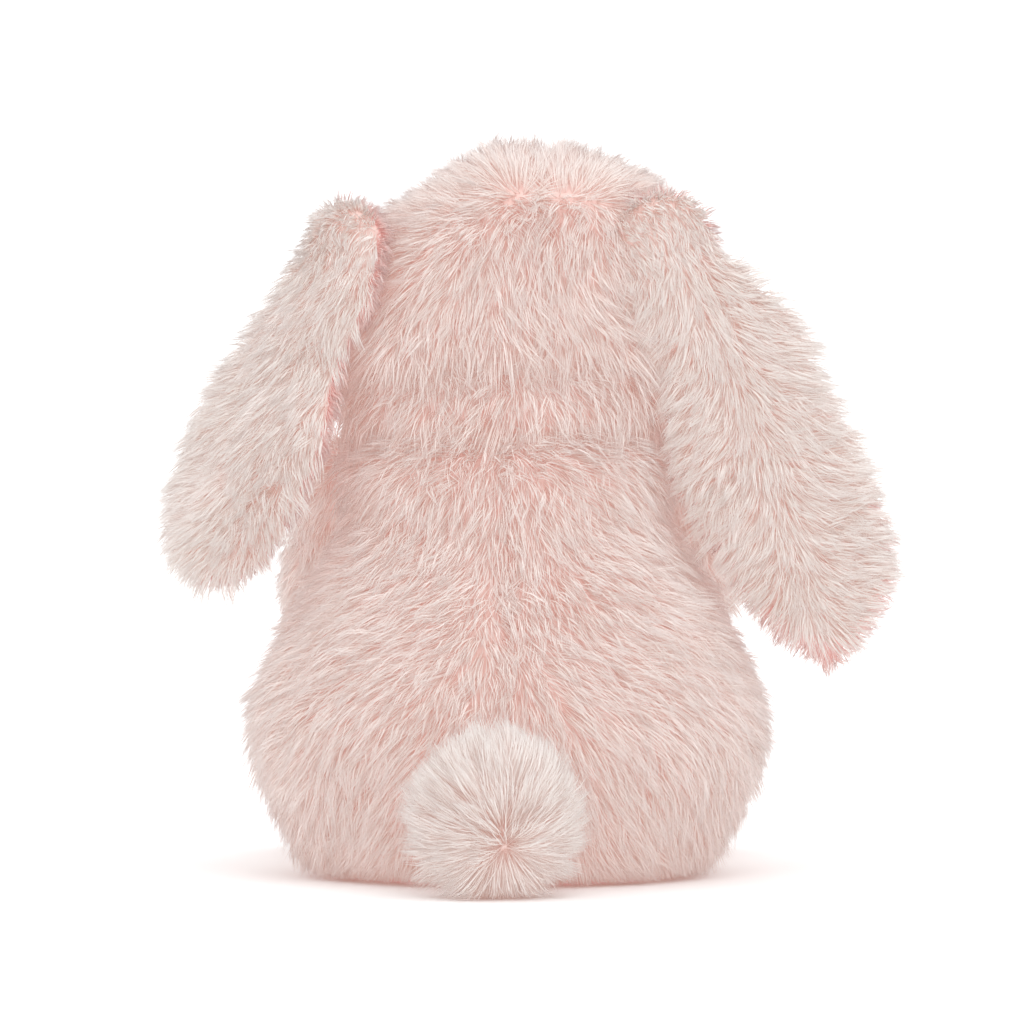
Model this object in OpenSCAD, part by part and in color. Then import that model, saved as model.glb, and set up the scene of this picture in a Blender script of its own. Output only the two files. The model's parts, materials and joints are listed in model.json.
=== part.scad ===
// Stuffed lop-eared bunny, sitting, made of sewn plush panels over stuffing.
// It sits on the floor at z = 0 and faces -Y. Its left side is +X and its tail is at +Y.
// The origin is the middle of the flat base. All sizes are in millimetres.

/* [Torso] */
// Height of the torso from the floor to its neck opening
torso_h = 108; // [104:1:112]
// Radius of the flat base
base_r = 40; // [38:1:42]
// Largest radius of the torso
belly_r = 58; // [56:1:60]
// Height at which the torso is widest
belly_z = 35; // [33:1:37]
// Radius of the neck opening
neck_r = 24; // [22:1:25]
// Thickness of the torso's plush with its pile pressed down
plush_t = 4; // [3:0.5:5]
// Thickness of the base panel
base_t = 3; // [2:0.5:4]

/* [Head] */
// Height of the head's centre above the floor
head_z = 145; // [143:1:148]
// Radius of the head's two side panels
head_r = 31; // [29:0.5:32]
// Width of the gusset that runs over the crown
gusset_w = 16; // [12:1:18]
// Thickness of the head's plush
head_t = 3; // [2:0.5:4]
// Radius of the muzzle
muzzle_r = 15; // [14:0.5:15.5]
// Radius of an eye's dome
eye_r = 4.6; // [4:0.2:5]

/* [Ears] */
// Length of the left ear from its root to its curled end
ear_left_len = 85; // [80:1:90]
// Length of the right ear from its root to its end
ear_right_len = 102; // [90:1:104]
// Width of an ear at its widest
ear_w = 41; // [36:1:42]
// Thickness of each of an ear's two layers
ear_t = 4; // [3:0.5:4]
// Angle between a hanging ear and the upright
ear_splay = 20; // [19:1:24]
// How far the left ear is turned towards the side
ear_left_turn = 48; // [40:1:52]
// How far the right ear is turned towards the side
ear_right_turn = 8; // [0:1:20]

/* [Limbs and tail] */
// Radius of an arm at the shoulder
shoulder_r = 9; // [8:0.5:9]
// Radius of a paw
paw_r = 11.5; // [10:0.5:11.5]
// Radius of a leg at the hip
hip_r = 13; // [12:0.5:13]
// Radius of a foot
foot_r = 18.5; // [17:0.5:19]
// Distance from the hip's centre to the foot's centre
leg_len = 40; // [36:1:42]
// Radius of the tail's pom-pom
tail_r = 19; // [17:0.5:19.5]

/* [Hidden] */

$fn = 72;
LEFT = 1;
RIGHT = -1;
// Gap that is left between pieces that move against each other
gap = 0.3;
// A size larger than the whole toy, for cutting solids
far = 300;

// Seams of the torso, as angles from +X: the belly panel runs between the two side seams
side_seam_left = -20;
side_seam_right = 200;
back_seam = 90;
torso_steps = 14;

pouch_r = 30;
pouch_h = 19;
pouch_t = 0.8;
pouch_round = 8;

stitch_r = 0.45;
stitch_len = 6;
stitch_count = 8;
stitch_z = 62;
stitch_pitch = 3.6;
// Gap under the stitches, which lie level on a slope
stitch_gap = 0.1;

neck_t = 4;
neck_top = 119;

head_y = -4;
head_c = [0, head_y, head_z];
gusset_half = gusset_w / 2;
muzzle_c = [0, head_y - 24, head_z - 4];
nose_t = 0.9;
mouth_r = 0.5;

// An eye looks out along this azimuth and elevation from the middle of its side panel
eye_azimuth = -58;
eye_elevation = 6;
eye_sink = 1.5;
shank_r = 1.5;
shank_len = 9;
washer_r = 5;
washer_h = 1.2;
washer_depth = head_t + 0.9;

ear_root = [42, 12, 155];
ear_root_r = 6;
ear_steps = 18;

limb_t = 3;
arm_gap = 3;
shoulder_z = 98;
shoulder_azimuth = -30;
paw_z = 68;
paw_azimuth = -46;
arc_steps = 9;

hip_x = 31;
hip_y = -46;
leg_out = 8;
hip_gap = 3;
sole_at = 12;
sole_t = 2;

tail_x = 3;
tail_gap = 2;
tie_r = 1.2;
// Gap between the torso and the tie, which leans as the tail wags
tie_gap = 0.6;
tie_knot_r = 2.6;

cream = "#e8d2cc";
pink = "#e0b4ae";
white = "#f5f1ec";

// Radius of the torso at height z
function torso_r(z) = z < belly_z
  ? base_r + (belly_r - base_r) * sin(acos(1 - z / belly_z))
  : neck_r + (belly_r - neck_r) * shoulder_curve((z - belly_z) / (torso_h - belly_z));

// Falls from 1 at the widest place to 0 at the neck, with a round shoulder
function shoulder_curve(t) = pow(max(0, 1 - pow(t, 1.5)), 0.75);

// Heights at which the torso's outline has points, close together where it turns
function torso_heights() = concat(
  [for (i = [0 : torso_steps]) belly_z * (1 - cos(90 * i / torso_steps))],
  [for (i = [1 : torso_steps]) belly_z + (torso_h - belly_z) * sin(90 * i / torso_steps)]
);

function torso_outline() = [for (z = torso_heights()) [torso_r(z), z]];

// The same outline one plush thickness further in, from the base panel upwards
function torso_lining() = concat(
  [[torso_r(base_t) - plush_t, base_t]],
  [for (z = torso_heights()) if (z > base_t + 0.5) [torso_r(z) - plush_t, z]]
);

function reversed(list) = [for (i = [len(list) - 1 : -1 : 0]) list[i]];

function at_azimuth(r, azimuth, z) = [r * cos(azimuth), r * sin(azimuth), z];

function mirror_x(p, side) = [side * p[0], p[1], p[2]];

// Half outline of a tapered capsule: a ball of radius r1 at the origin and one of r2 at height l.
// The far end is cut off flat at height l + cut.
function capsule_outline(r1, r2, l, cut) =
  let (lean = asin((r2 - r1) / l), last = asin(min(1, cut / r2)))
  concat(
    [for (i = [0 : arc_steps]) let (a = -90 + (90 - lean) * i / arc_steps) [r1 * cos(a), r1 * sin(a)]],
    [for (i = [0 : arc_steps]) let (a = -lean + (last + lean) * i / arc_steps)
      [r2 * cos(a), l + r2 * sin(a)]]
  );

// Places of the limbs and the tail
shoulder = at_azimuth(torso_r(shoulder_z) + shoulder_r + arm_gap, shoulder_azimuth, shoulder_z);
paw = at_azimuth(torso_r(paw_z) + paw_r + arm_gap, paw_azimuth, paw_z);
hip = [hip_x, hip_y, hip_r + gap];
leg_rise = asin((foot_r - hip_r) / leg_len);
tail_z = tail_r + gap;
tail_seat = [tail_x, torso_r(tail_z), tail_z];
tail_c = tail_seat + [0, tail_gap + tail_r, 0];

// ---- Torso ----

module torso_panel(from, to) {
  rotate([0, 0, from])
    rotate_extrude(angle = to - from)
      polygon(concat(torso_outline(), reversed(torso_lining()), [[base_r, base_t]]));
}

// Room for the legs to turn in
module hip_sockets() {
  for (side = [LEFT, RIGHT])
    translate(mirror_x(hip, side))
      sphere(r = hip_r + hip_gap);
}

module back_panel_left() {
  color(cream) torso_panel(side_seam_left, back_seam);
}

module back_panel_right() {
  color(cream) torso_panel(back_seam, side_seam_right);
}

module belly_panel() {
  color(cream)
    difference() {
      torso_panel(side_seam_right - 360, side_seam_left);
      hip_sockets();
    }
}

module base_panel() {
  color(pink)
    difference() {
      cylinder(r = base_r, h = base_t);
      hip_sockets();
    }
}

module pouch_form(inset) {
  rotate_extrude()
    polygon(concat(
      [[0, base_t + inset]],
      [for (i = [0 : arc_steps]) let (a = -90 + 180 * i / arc_steps)
        [pouch_r - pouch_round + (pouch_round - inset) * cos(a),
          base_t + (a < 0 ? pouch_round : pouch_h - pouch_round) + (pouch_round - inset) * sin(a)]],
      [[0, base_t + pouch_h - inset]]
    ));
}

module body_stuffing() {
  color(white)
    difference() {
      rotate_extrude()
        polygon(concat([[0, base_t]], torso_lining(), [[0, torso_h]]));
      pouch_form(0);
      hip_sockets();
    }
}

module pellet_pouch() {
  color(white)
    difference() {
      pouch_form(0);
      pouch_form(pouch_t);
    }
}

module pellet_fill() {
  color("lightgray") pouch_form(pouch_t);
}

// Ladder of stitches over the middle of the back, where the stuffing went in
module closing_stitches() {
  color(pink)
    for (i = [0 : stitch_count - 1])
      let (z = stitch_z + i * stitch_pitch)
        translate([0, torso_r(z) + stitch_r + stitch_gap, z])
          rotate([0, 90, 0])
            cylinder(r = stitch_r, h = stitch_len, center = true, $fn = 24);
}

// ---- Neck ----

module head_form(inset) {
  translate(head_c) {
    rotate([0, 90, 0])
      cylinder(r = head_r - inset, h = gusset_w, center = true);
    for (side = [LEFT, RIGHT])
      translate([side * gusset_half, 0, 0])
        sphere(r = head_r - inset);
  }
}

module neck_sleeve() {
  color(pink)
    difference() {
      translate([0, 0, torso_h + gap])
        cylinder(r = neck_r, h = neck_top - torso_h - gap);
      cylinder(r = neck_r - neck_t, h = far);
      head_form(-gap);
    }
}

module neck_stuffing() {
  color(white)
    difference() {
      translate([0, 0, torso_h + gap])
        cylinder(r = neck_r - neck_t, h = neck_top - torso_h - gap);
      head_form(-gap);
    }
}

module neck_stitches() {
  color(pink)
    translate([0, 0, torso_h + gap + stitch_r])
      rotate_extrude()
        translate([neck_r + stitch_r, 0])
          circle(r = stitch_r, $fn = 24);
}

// ---- Head ----

module eye_place(side) {
  translate(head_c + [side * gusset_half, 0, 0])
    rotate([0, 0, side > 0 ? eye_azimuth : 180 - eye_azimuth])
      rotate([0, 90 - eye_elevation, 0])
        translate([0, 0, head_r])
          children();
}

module shank() {
  translate([0, 0, -shank_len])
    cylinder(r = shank_r, h = shank_len + 1, $fn = 32);
}

module washer_blank() {
  translate([0, 0, -washer_depth - washer_h])
    cylinder(r = washer_r, h = washer_h, $fn = 48);
}

module head_panel(side) {
  color(cream)
    difference() {
      translate(head_c + [side * gusset_half, 0, 0])
        difference() {
          sphere(r = head_r);
          sphere(r = head_r - head_t);
          translate([-side * far / 2, 0, 0])
            cube(far, center = true);
        }
      eye_place(side) shank();
    }
}

module head_panel_left() {
  head_panel(LEFT);
}

module head_panel_right() {
  head_panel(RIGHT);
}

module head_gusset() {
  color(cream)
    translate(head_c)
      rotate([0, 90, 0])
        difference() {
          cylinder(r = head_r, h = gusset_w, center = true);
          cylinder(r = head_r - head_t, h = far, center = true);
        }
}

module head_stuffing() {
  color(white)
    difference() {
      head_form(head_t);
      for (side = [LEFT, RIGHT])
        eye_place(side) {
          shank();
          washer_blank();
        }
    }
}

module muzzle_panel() {
  color(white)
    difference() {
      translate(muzzle_c)
        difference() {
          sphere(r = muzzle_r);
          sphere(r = muzzle_r - head_t);
        }
      head_form(0);
    }
}

module muzzle_stuffing() {
  color(white)
    difference() {
      translate(muzzle_c)
        sphere(r = muzzle_r - head_t);
      head_form(0);
    }
}

// A rounded triangle of satin stitch, point down, that lies on the muzzle
module nose_stitches() {
  color("#c98f93")
    translate(muzzle_c)
      intersection() {
        difference() {
          sphere(r = muzzle_r + nose_t);
          sphere(r = muzzle_r);
        }
        translate([0, 0, 5])
          rotate([90, 0, 0])
            linear_extrude(height = far)
              polygon([[-4.6, 3.2], [4.6, 3.2], [5, 2], [1, -3], [-1, -3], [-5, 2]]);
      }
}

// One line down from the nose and two curves out of its end
module mouth_stitches() {
  line_r = muzzle_r + mouth_r + 0.05;
  color("#b97f84")
    translate(muzzle_c) {
      rotate([0, 0, -90])
        rotate([90, 0, 0])
          rotate([0, 0, -18])
            rotate_extrude(angle = 22)
              translate([line_r, 0])
                circle(r = mouth_r, $fn = 24);
      for (side = [LEFT, RIGHT])
        rotate([19, 0, 0])
          rotate([0, 0, side > 0 ? -88 : -118])
            rotate_extrude(angle = 26)
              translate([line_r, 0])
                circle(r = mouth_r, $fn = 24);
    }
}

module eye(side) {
  color("black") {
    difference() {
      eye_place(side)
        translate([0, 0, -eye_sink])
          sphere(r = eye_r);
      head_form(0);
    }
    eye_place(side) shank();
  }
}

module eye_left() {
  eye(LEFT);
}

module eye_right() {
  eye(RIGHT);
}

module eye_washer(side) {
  color("white")
    eye_place(side)
      difference() {
        washer_blank();
        shank();
      }
}

module eye_washer_left() {
  eye_washer(LEFT);
}

module eye_washer_right() {
  eye_washer(RIGHT);
}

// ---- Ears ----

// Half width of an ear at the fraction t of its length
function ear_half(t) =
  sqrt(pow(ear_root_r, 2) * (1 - t) + pow(ear_w / 2 * pow(sin(180 * pow(t, 1.7)), 0.65), 2));

// Outline of an ear that hangs down from its root at the origin
function ear_outline(l) = concat(
  [for (i = [1 : arc_steps - 1]) let (a = 180 * i / arc_steps) [ear_root_r * cos(a), ear_root_r * sin(a)]],
  [for (i = [0 : ear_steps]) let (t = sin(90 * i / ear_steps)) [-ear_half(t), -l * t]],
  [for (i = [ear_steps - 1 : -1 : 0]) let (t = sin(90 * i / ear_steps)) [ear_half(t), -l * t]]
);

// One layer of an ear: the back lies at the outside and the lining at the inside
module ear_layer(side, l, turn, is_back) {
  translate(mirror_x(ear_root, side))
    rotate([0, -side * ear_splay, 0])
      rotate([0, 0, -side * turn])
        rotate([90, 0, 0])
          translate([0, 0, is_back ? -ear_t : 0])
            linear_extrude(height = ear_t)
              polygon(ear_outline(l));
}

module ear_back_left() {
  color(cream) ear_layer(LEFT, ear_left_len, ear_left_turn, true);
}

module ear_lining_left() {
  color(pink) ear_layer(LEFT, ear_left_len, ear_left_turn, false);
}

module ear_back_right() {
  color(cream) ear_layer(RIGHT, ear_right_len, ear_right_turn, true);
}

module ear_lining_right() {
  color(pink) ear_layer(RIGHT, ear_right_len, ear_right_turn, false);
}

// ---- Arms and legs ----

// Stands its child, which points up from the origin, on point a so that it points to b.
// The child's +X side is turned to the outside of the toy.
module point_to(a, b) {
  d = b - a;
  translate(a)
    rotate([0, acos(d[2] / norm(d)), atan2(d[1], d[0])])
      children();
}

// One half of a limb's cover, from the given angle about the limb's length
module limb_shell(r1, r2, l, cut, from) {
  rotate([0, 0, from])
    rotate_extrude(angle = 180)
      polygon(concat(
        capsule_outline(r1, r2, l, cut),
        reversed(capsule_outline(r1 - limb_t, r2 - limb_t, l, cut))
      ));
}

module limb_core(r1, r2, l, cut) {
  rotate_extrude()
    polygon(concat(
      [[0, -r1 + limb_t]],
      capsule_outline(r1 - limb_t, r2 - limb_t, l, cut),
      [[0, l + min(cut, r2 - limb_t)]]
    ));
}

module arm_frame(side) {
  mirror([side > 0 ? 0 : 1, 0, 0])
    point_to(shoulder, paw)
      children();
}

arm_len = norm(paw - shoulder);

module arm_cover(side, from) {
  color(cream)
    arm_frame(side)
      limb_shell(shoulder_r, paw_r, arm_len, far, from);
}

module arm_stuffing(side) {
  color(white)
    arm_frame(side)
      limb_core(shoulder_r, paw_r, arm_len, far);
}

module arm_outer_left() {
  arm_cover(LEFT, -60);
}

module arm_inner_left() {
  arm_cover(LEFT, 120);
}

module arm_stuffing_left() {
  arm_stuffing(LEFT);
}

module arm_outer_right() {
  arm_cover(RIGHT, -60);
}

module arm_inner_right() {
  arm_cover(RIGHT, 120);
}

module arm_stuffing_right() {
  arm_stuffing(RIGHT);
}

module leg_frame(side) {
  mirror([side > 0 ? 0 : 1, 0, 0])
    translate(hip)
      rotate([0, 0, leg_out])
        rotate([90 - leg_rise, 0, 0])
          children();
}

module leg_cover(side, from) {
  color(cream)
    leg_frame(side)
      limb_shell(hip_r, foot_r, leg_len, sole_at, from);
}

// The sole is sewn over the foot's flat end
module leg_sole(side) {
  color(pink)
    leg_frame(side)
      translate([0, 0, leg_len + sole_at])
        cylinder(r = foot_r * cos(asin(sole_at / foot_r)), h = sole_t);
}

module leg_stuffing(side) {
  color(white)
    leg_frame(side)
      limb_core(hip_r, foot_r, leg_len, sole_at);
}

module leg_outer_left() {
  leg_cover(LEFT, -90);
}

module leg_inner_left() {
  leg_cover(LEFT, 90);
}

module leg_sole_left() {
  leg_sole(LEFT);
}

module leg_stuffing_left() {
  leg_stuffing(LEFT);
}

module leg_outer_right() {
  leg_cover(RIGHT, -90);
}

module leg_inner_right() {
  leg_cover(RIGHT, 90);
}

module leg_sole_right() {
  leg_sole(RIGHT);
}

module leg_stuffing_right() {
  leg_stuffing(RIGHT);
}

// ---- Tail ----

// A thread with a knot at its end, from the torso into the middle of the pom-pom
module tie_form() {
  translate(tail_seat + [0, tie_gap, 0])
    rotate([-90, 0, 0])
      cylinder(r = tie_r, h = tail_gap + tail_r - tie_gap, $fn = 32);
  translate(tail_c)
    sphere(r = tie_knot_r);
}

module tail_pompom() {
  color(white)
    difference() {
      translate(tail_c)
        sphere(r = tail_r);
      tie_form();
    }
}

module tail_tie() {
  color(pink) tie_form();
}

back_panel_left();
back_panel_right();
belly_panel();
base_panel();
body_stuffing();
pellet_pouch();
pellet_fill();
closing_stitches();
neck_sleeve();
neck_stuffing();
neck_stitches();
head_panel_left();
head_panel_right();
head_gusset();
head_stuffing();
muzzle_panel();
muzzle_stuffing();
nose_stitches();
mouth_stitches();
eye_left();
eye_right();
eye_washer_left();
eye_washer_right();
ear_back_left();
ear_lining_left();
ear_back_right();
ear_lining_right();
arm_outer_left();
arm_inner_left();
arm_stuffing_left();
arm_outer_right();
arm_inner_right();
arm_stuffing_right();
leg_outer_left();
leg_inner_left();
leg_sole_left();
leg_stuffing_left();
leg_outer_right();
leg_inner_right();
leg_sole_right();
leg_stuffing_right();
tail_pompom();
tail_tie();
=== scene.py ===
"""A sitting lop-eared plush bunny: sewn panels in long pile over stuffing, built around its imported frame."""

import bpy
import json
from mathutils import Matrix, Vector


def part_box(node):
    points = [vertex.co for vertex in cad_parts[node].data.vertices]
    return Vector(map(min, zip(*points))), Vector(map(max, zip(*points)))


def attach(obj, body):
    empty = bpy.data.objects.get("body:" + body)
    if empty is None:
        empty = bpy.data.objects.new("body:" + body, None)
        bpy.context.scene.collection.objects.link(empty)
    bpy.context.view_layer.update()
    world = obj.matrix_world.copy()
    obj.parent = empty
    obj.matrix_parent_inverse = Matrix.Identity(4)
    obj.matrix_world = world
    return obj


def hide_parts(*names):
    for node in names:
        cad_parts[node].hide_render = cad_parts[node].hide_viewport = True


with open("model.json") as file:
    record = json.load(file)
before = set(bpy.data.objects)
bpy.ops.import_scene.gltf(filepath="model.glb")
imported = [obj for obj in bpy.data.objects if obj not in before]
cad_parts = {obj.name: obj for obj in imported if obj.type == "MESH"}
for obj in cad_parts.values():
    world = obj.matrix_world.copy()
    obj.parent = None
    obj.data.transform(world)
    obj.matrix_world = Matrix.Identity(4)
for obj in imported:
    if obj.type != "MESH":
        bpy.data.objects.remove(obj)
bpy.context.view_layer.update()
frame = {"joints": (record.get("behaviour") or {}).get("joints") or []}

import json
import logging
import math
from contextlib import contextmanager
from dataclasses import dataclass, replace
from enum import Enum
from typing import Callable, Iterator

import bpy
import numpy as np
from mathutils import Matrix, Vector, kdtree

MM = 0.001
TAU = 2 * math.pi
PILE_UV = "OFBake"
FLOOR_CLEARANCE = 0.35 * MM
UP = Vector((0, 0, 1))
ACROSS = Vector((1, 0, 0))
FORWARD = Vector((0, -1, 0))

log = logging.getLogger("bunny")

Comb = Callable[[np.ndarray, np.ndarray], np.ndarray]
Trim = Callable[[np.ndarray], np.ndarray]
Colour = tuple[float, float, float]


class Side(Enum):
    """The toy's own left and right: its left is +X."""

    LEFT = 1
    RIGHT = -1

    @property
    def word(self) -> str:
        """The side's name as the frame's nodes and bodies spell it."""
        return self.name.lower()


# ---------------------------------------------------------------- editing


def deselect_all() -> None:
    """Leaves nothing selected and no object in edit mode."""
    if bpy.context.mode != "OBJECT":
        bpy.ops.object.mode_set(mode="OBJECT")
    bpy.ops.object.select_all(action="DESELECT")


def take(obj: bpy.types.Object) -> bpy.types.Object:
    """Makes one object the only selected one, and the active one.

    Args:
        obj: the object to work on.

    Returns:
        The same object.
    """
    deselect_all()
    obj.select_set(True)
    bpy.context.view_layer.objects.active = obj
    return obj


def place(obj: bpy.types.Object, matrix: Matrix) -> bpy.types.Object:
    """Puts an object's place into its mesh, so that the object itself stays at the origin.

    Args:
        obj: an object whose mesh is in local coordinates.
        matrix: where those coordinates lie in the toy's frame.

    Returns:
        The same object.
    """
    take(obj)
    obj.matrix_world = matrix
    bpy.ops.object.transform_apply(location=True, rotation=True, scale=True)
    return obj


def copy_of(obj: bpy.types.Object, name: str) -> bpy.types.Object:
    """Copies an object with a mesh of its own.

    Args:
        obj: the object to copy.
        name: the copy's name.

    Returns:
        The copy, linked to the scene.
    """
    twin = obj.copy()
    twin.data = obj.data.copy()
    twin.name = name
    bpy.context.scene.collection.objects.link(twin)
    return twin


def stand(name: str, data: bpy.types.ID) -> bpy.types.Object:
    """Returns a new object of a mesh, curve, lamp or camera, linked to the scene."""
    obj = bpy.data.objects.new(name, data)
    bpy.context.scene.collection.objects.link(obj)
    return obj


def discard(obj: bpy.types.Object) -> None:
    """Removes an object that was only a pattern for others."""
    bpy.data.objects.remove(obj, do_unlink=True)


@contextmanager
def editing(obj: bpy.types.Object) -> Iterator[None]:
    """Opens an object's mesh for editing with all of it selected, and closes it again."""
    take(obj)
    bpy.ops.object.mode_set(mode="EDIT")
    bpy.ops.mesh.select_all(action="SELECT")
    yield
    bpy.ops.object.mode_set(mode="OBJECT")


def rows_of(items: bpy.types.bpy_prop_collection, field: str) -> np.ndarray:
    """Returns a field of three numbers, such as a place, as one row for each item."""
    out = np.empty(len(items) * 3)
    items.foreach_get(field, out)
    return out.reshape(-1, 3)


def points_of(obj: bpy.types.Object) -> np.ndarray:
    """Returns the mesh's vertices as rows of x, y, z."""
    return rows_of(obj.data.vertices, "co")


def normals_of(obj: bpy.types.Object) -> np.ndarray:
    """Returns the mesh's smooth vertex normals as rows."""
    return rows_of(obj.data.vertex_normals, "vector")


def set_points(obj: bpy.types.Object, points: np.ndarray) -> None:
    """Moves the mesh's vertices to new places."""
    obj.data.vertices.foreach_set("co", np.ascontiguousarray(points, dtype=np.float32).ravel())
    obj.data.update()


def repeated(name: str, points: np.ndarray, pattern: np.ndarray) -> bpy.types.Mesh:
    """Builds one mesh from many copies of a small closed form.

    Args:
        name: the mesh's name.
        points: an array of copy, vertex and coordinate.
        pattern: one copy's triangles, as rows of vertex numbers.

    Returns:
        The mesh, shaded smooth.
    """
    count, per = points.shape[:2]
    corners = (pattern[None] + (np.arange(count) * per)[:, None, None]).reshape(-1)
    faces = len(corners) // 3
    mesh = bpy.data.meshes.new(name)
    mesh.vertices.add(count * per)
    mesh.vertices.foreach_set("co", points.reshape(-1).astype(np.float32))
    mesh.loops.add(len(corners))
    mesh.loops.foreach_set("vertex_index", corners.astype(np.int32))
    mesh.polygons.add(faces)
    mesh.polygons.foreach_set("loop_start", np.arange(0, len(corners), 3, dtype=np.int32))
    mesh.polygons.foreach_set("use_smooth", np.ones(faces, bool))
    mesh.update(calc_edges=True)
    return mesh


def apply_modifier(obj: bpy.types.Object, kind: str, **settings: object) -> None:
    """Adds a modifier, sets it and applies it.

    Args:
        obj: the object that is changed.
        kind: the modifier's type.
        **settings: the modifier's properties and their values.
    """
    take(obj)
    modifier = obj.modifiers.new(kind.title(), kind)
    for key, value in settings.items():
        setattr(modifier, key, value)
    bpy.ops.object.modifier_apply(modifier=modifier.name)


def smooth(obj: bpy.types.Object) -> bpy.types.Object:
    """Shades a piece smooth."""
    take(obj)
    bpy.ops.object.shade_smooth()
    return obj


def join(parts: list[bpy.types.Object], name: str) -> bpy.types.Object:
    """Joins objects into the first one.

    Args:
        parts: the objects, the first of which stays.
        name: the joined piece's name.

    Returns:
        The joined object.
    """
    take(parts[0])
    for part in parts[1:]:
        part.select_set(True)
    if len(parts) > 1:
        bpy.ops.object.join()
    parts[0].name = name
    return parts[0]


def unit(vectors: np.ndarray) -> np.ndarray:
    """Returns rows scaled to length one."""
    return vectors / np.maximum(np.linalg.norm(vectors, axis=-1, keepdims=True), 1e-9)


def along_surface(vectors: np.ndarray, normals: np.ndarray) -> np.ndarray:
    """Returns the part of each vector that lies in the surface, at length one.

    Args:
        vectors: one direction for each row of normals.
        normals: the surface's unit normals.

    Returns:
        Unit vectors at right angles to the normals.
    """
    return unit(vectors - normals * (vectors * normals).sum(1, keepdims=True))


def straight_down(points: np.ndarray, normals: np.ndarray) -> np.ndarray:
    """Brushes pile straight down: returns the same way for every point."""
    return np.tile([0.0, 0.0, -1.0], (len(points), 1))


def falling(normals: np.ndarray) -> np.ndarray:
    """Returns the way down along the surface for each of its normals."""
    return along_surface(straight_down(normals, normals), normals)


def around(points: np.ndarray) -> np.ndarray:
    """Returns the level direction round the upright, to the left at the front, for each point."""
    return unit(np.stack([-points[:, 1], points[:, 0], np.zeros(len(points))], 1))


def far_from(points: np.ndarray, spot: Vector) -> np.ndarray:
    """Returns each point's distance from a spot."""
    return np.linalg.norm(points - np.array(spot), axis=1)


def bell(value: float | np.ndarray, middle: float, width: float) -> float | np.ndarray:
    """Returns a smooth bump: 1 where the value is at the middle, and little beyond two widths from it."""
    return np.exp(-(((value - middle) / width) ** 2))


def waves(points: np.ndarray, size: float, seed: int) -> np.ndarray:
    """Smooth noise made of a few plane waves.

    Args:
        points: where it is read.
        size: the size of its bumps, in metres.
        seed: which pattern it is.

    Returns:
        One value for each point, mostly between -1 and 1.
    """
    rng = np.random.default_rng(seed)
    total = np.zeros(len(points))
    count = 7
    for _ in range(count):
        direction = unit(rng.normal(size=3)[None])[0]
        total += np.sin(points @ direction * TAU / (size * rng.uniform(0.7, 1.6)) + rng.uniform(0, TAU))
    return total / math.sqrt(count)


# ---------------------------------------------------------------- soft forms


@dataclass(frozen=True)
class Station:
    """One ring of a soft form: its height, its two half widths and how far it is off the form's axis."""

    z: float
    rx: float
    ry: float
    cx: float = 0.0

    @property
    def centre(self) -> Vector:
        """The ring's middle."""
        return Vector((self.cx, 0, self.z))


def disc(z: float, radius: float) -> Station:
    """Returns a round ring on the form's axis."""
    return Station(z, radius, radius)


def loft(name: str, stations: list[Station], segments: int = 32) -> bpy.types.Object:
    """Draws a closed form through rings, one extrusion after another.

    Args:
        name: the object's name.
        stations: the rings from one end to the other.
        segments: how many sides a ring has.

    Returns:
        The closed form.
    """
    deselect_all()
    first = stations[0]
    bpy.ops.mesh.primitive_circle_add(vertices=segments, radius=1.0, location=first.centre)
    obj = bpy.context.object
    obj.name = name
    bpy.ops.object.transform_apply(location=True)
    with editing(obj):
        bpy.ops.transform.resize(value=(first.rx, first.ry, 1), center_override=first.centre)
        for last, ring in zip(stations, stations[1:]):
            step = ring.centre - last.centre
            bpy.ops.mesh.extrude_region_move(TRANSFORM_OT_translate={"value": step})
            wider = (ring.rx / last.rx, ring.ry / last.ry, 1)
            bpy.ops.transform.resize(value=wider, center_override=ring.centre)
        bpy.ops.mesh.select_all(action="SELECT")
        bpy.ops.mesh.fill_holes(sides=0)
        bpy.ops.mesh.normals_make_consistent(inside=False)
    return obj


@dataclass(frozen=True)
class Puff:
    """How a sewn form is blown out by its stuffing: cloth simulation with pressure, and no gravity."""

    voxel: float
    cap: float
    pressure: float = 4.0
    frames: int = 20

    def fill(self, obj: bpy.types.Object) -> bpy.types.Object:
        """Remeshes a form, lets the stuffing press it out and smooths the cloth once.

        Args:
            obj: the closed form, which is changed.

        Returns:
            The same object.
        """
        apply_modifier(obj, "REMESH", mode="VOXEL", voxel_size=self.voxel)
        self._press(obj)
        apply_modifier(obj, "SUBSURF", levels=1, render_levels=1)
        return smooth(obj)

    def _press(self, obj: bpy.types.Object) -> None:
        """Runs the cloth and moves each point as far as it went, up to the cap."""
        start = points_of(obj)
        take(obj)
        cloth = obj.modifiers.new("Cloth", "CLOTH")
        cloth.settings.use_pressure = True
        cloth.settings.uniform_pressure_force = self.pressure
        cloth.settings.effector_weights.gravity = 0.0
        cloth.point_cache.frame_start = 1
        cloth.point_cache.frame_end = self.frames
        scene = bpy.context.scene
        for number in range(1, self.frames + 1):
            scene.frame_set(number)
        shown = obj.evaluated_get(bpy.context.evaluated_depsgraph_get())
        way = points_of(shown) - start
        obj.modifiers.remove(cloth)
        scene.frame_set(1)
        far = np.linalg.norm(way, axis=1, keepdims=True)
        set_points(obj, start + way * np.minimum(1, self.cap / np.maximum(far, 1e-9)))


def keep_side(obj: bpy.types.Object, point: Vector, normal: Vector, close: bool = False) -> None:
    """Cuts a form by a plane and throws away what lies behind it.

    Args:
        obj: the form, which is changed.
        point: a point on the plane.
        normal: the side of the plane that stays.
        close: whether the cut is closed by a face.
    """
    with editing(obj):
        bpy.ops.mesh.bisect(plane_co=point, plane_no=normal, clear_inner=True, use_fill=close)


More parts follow.
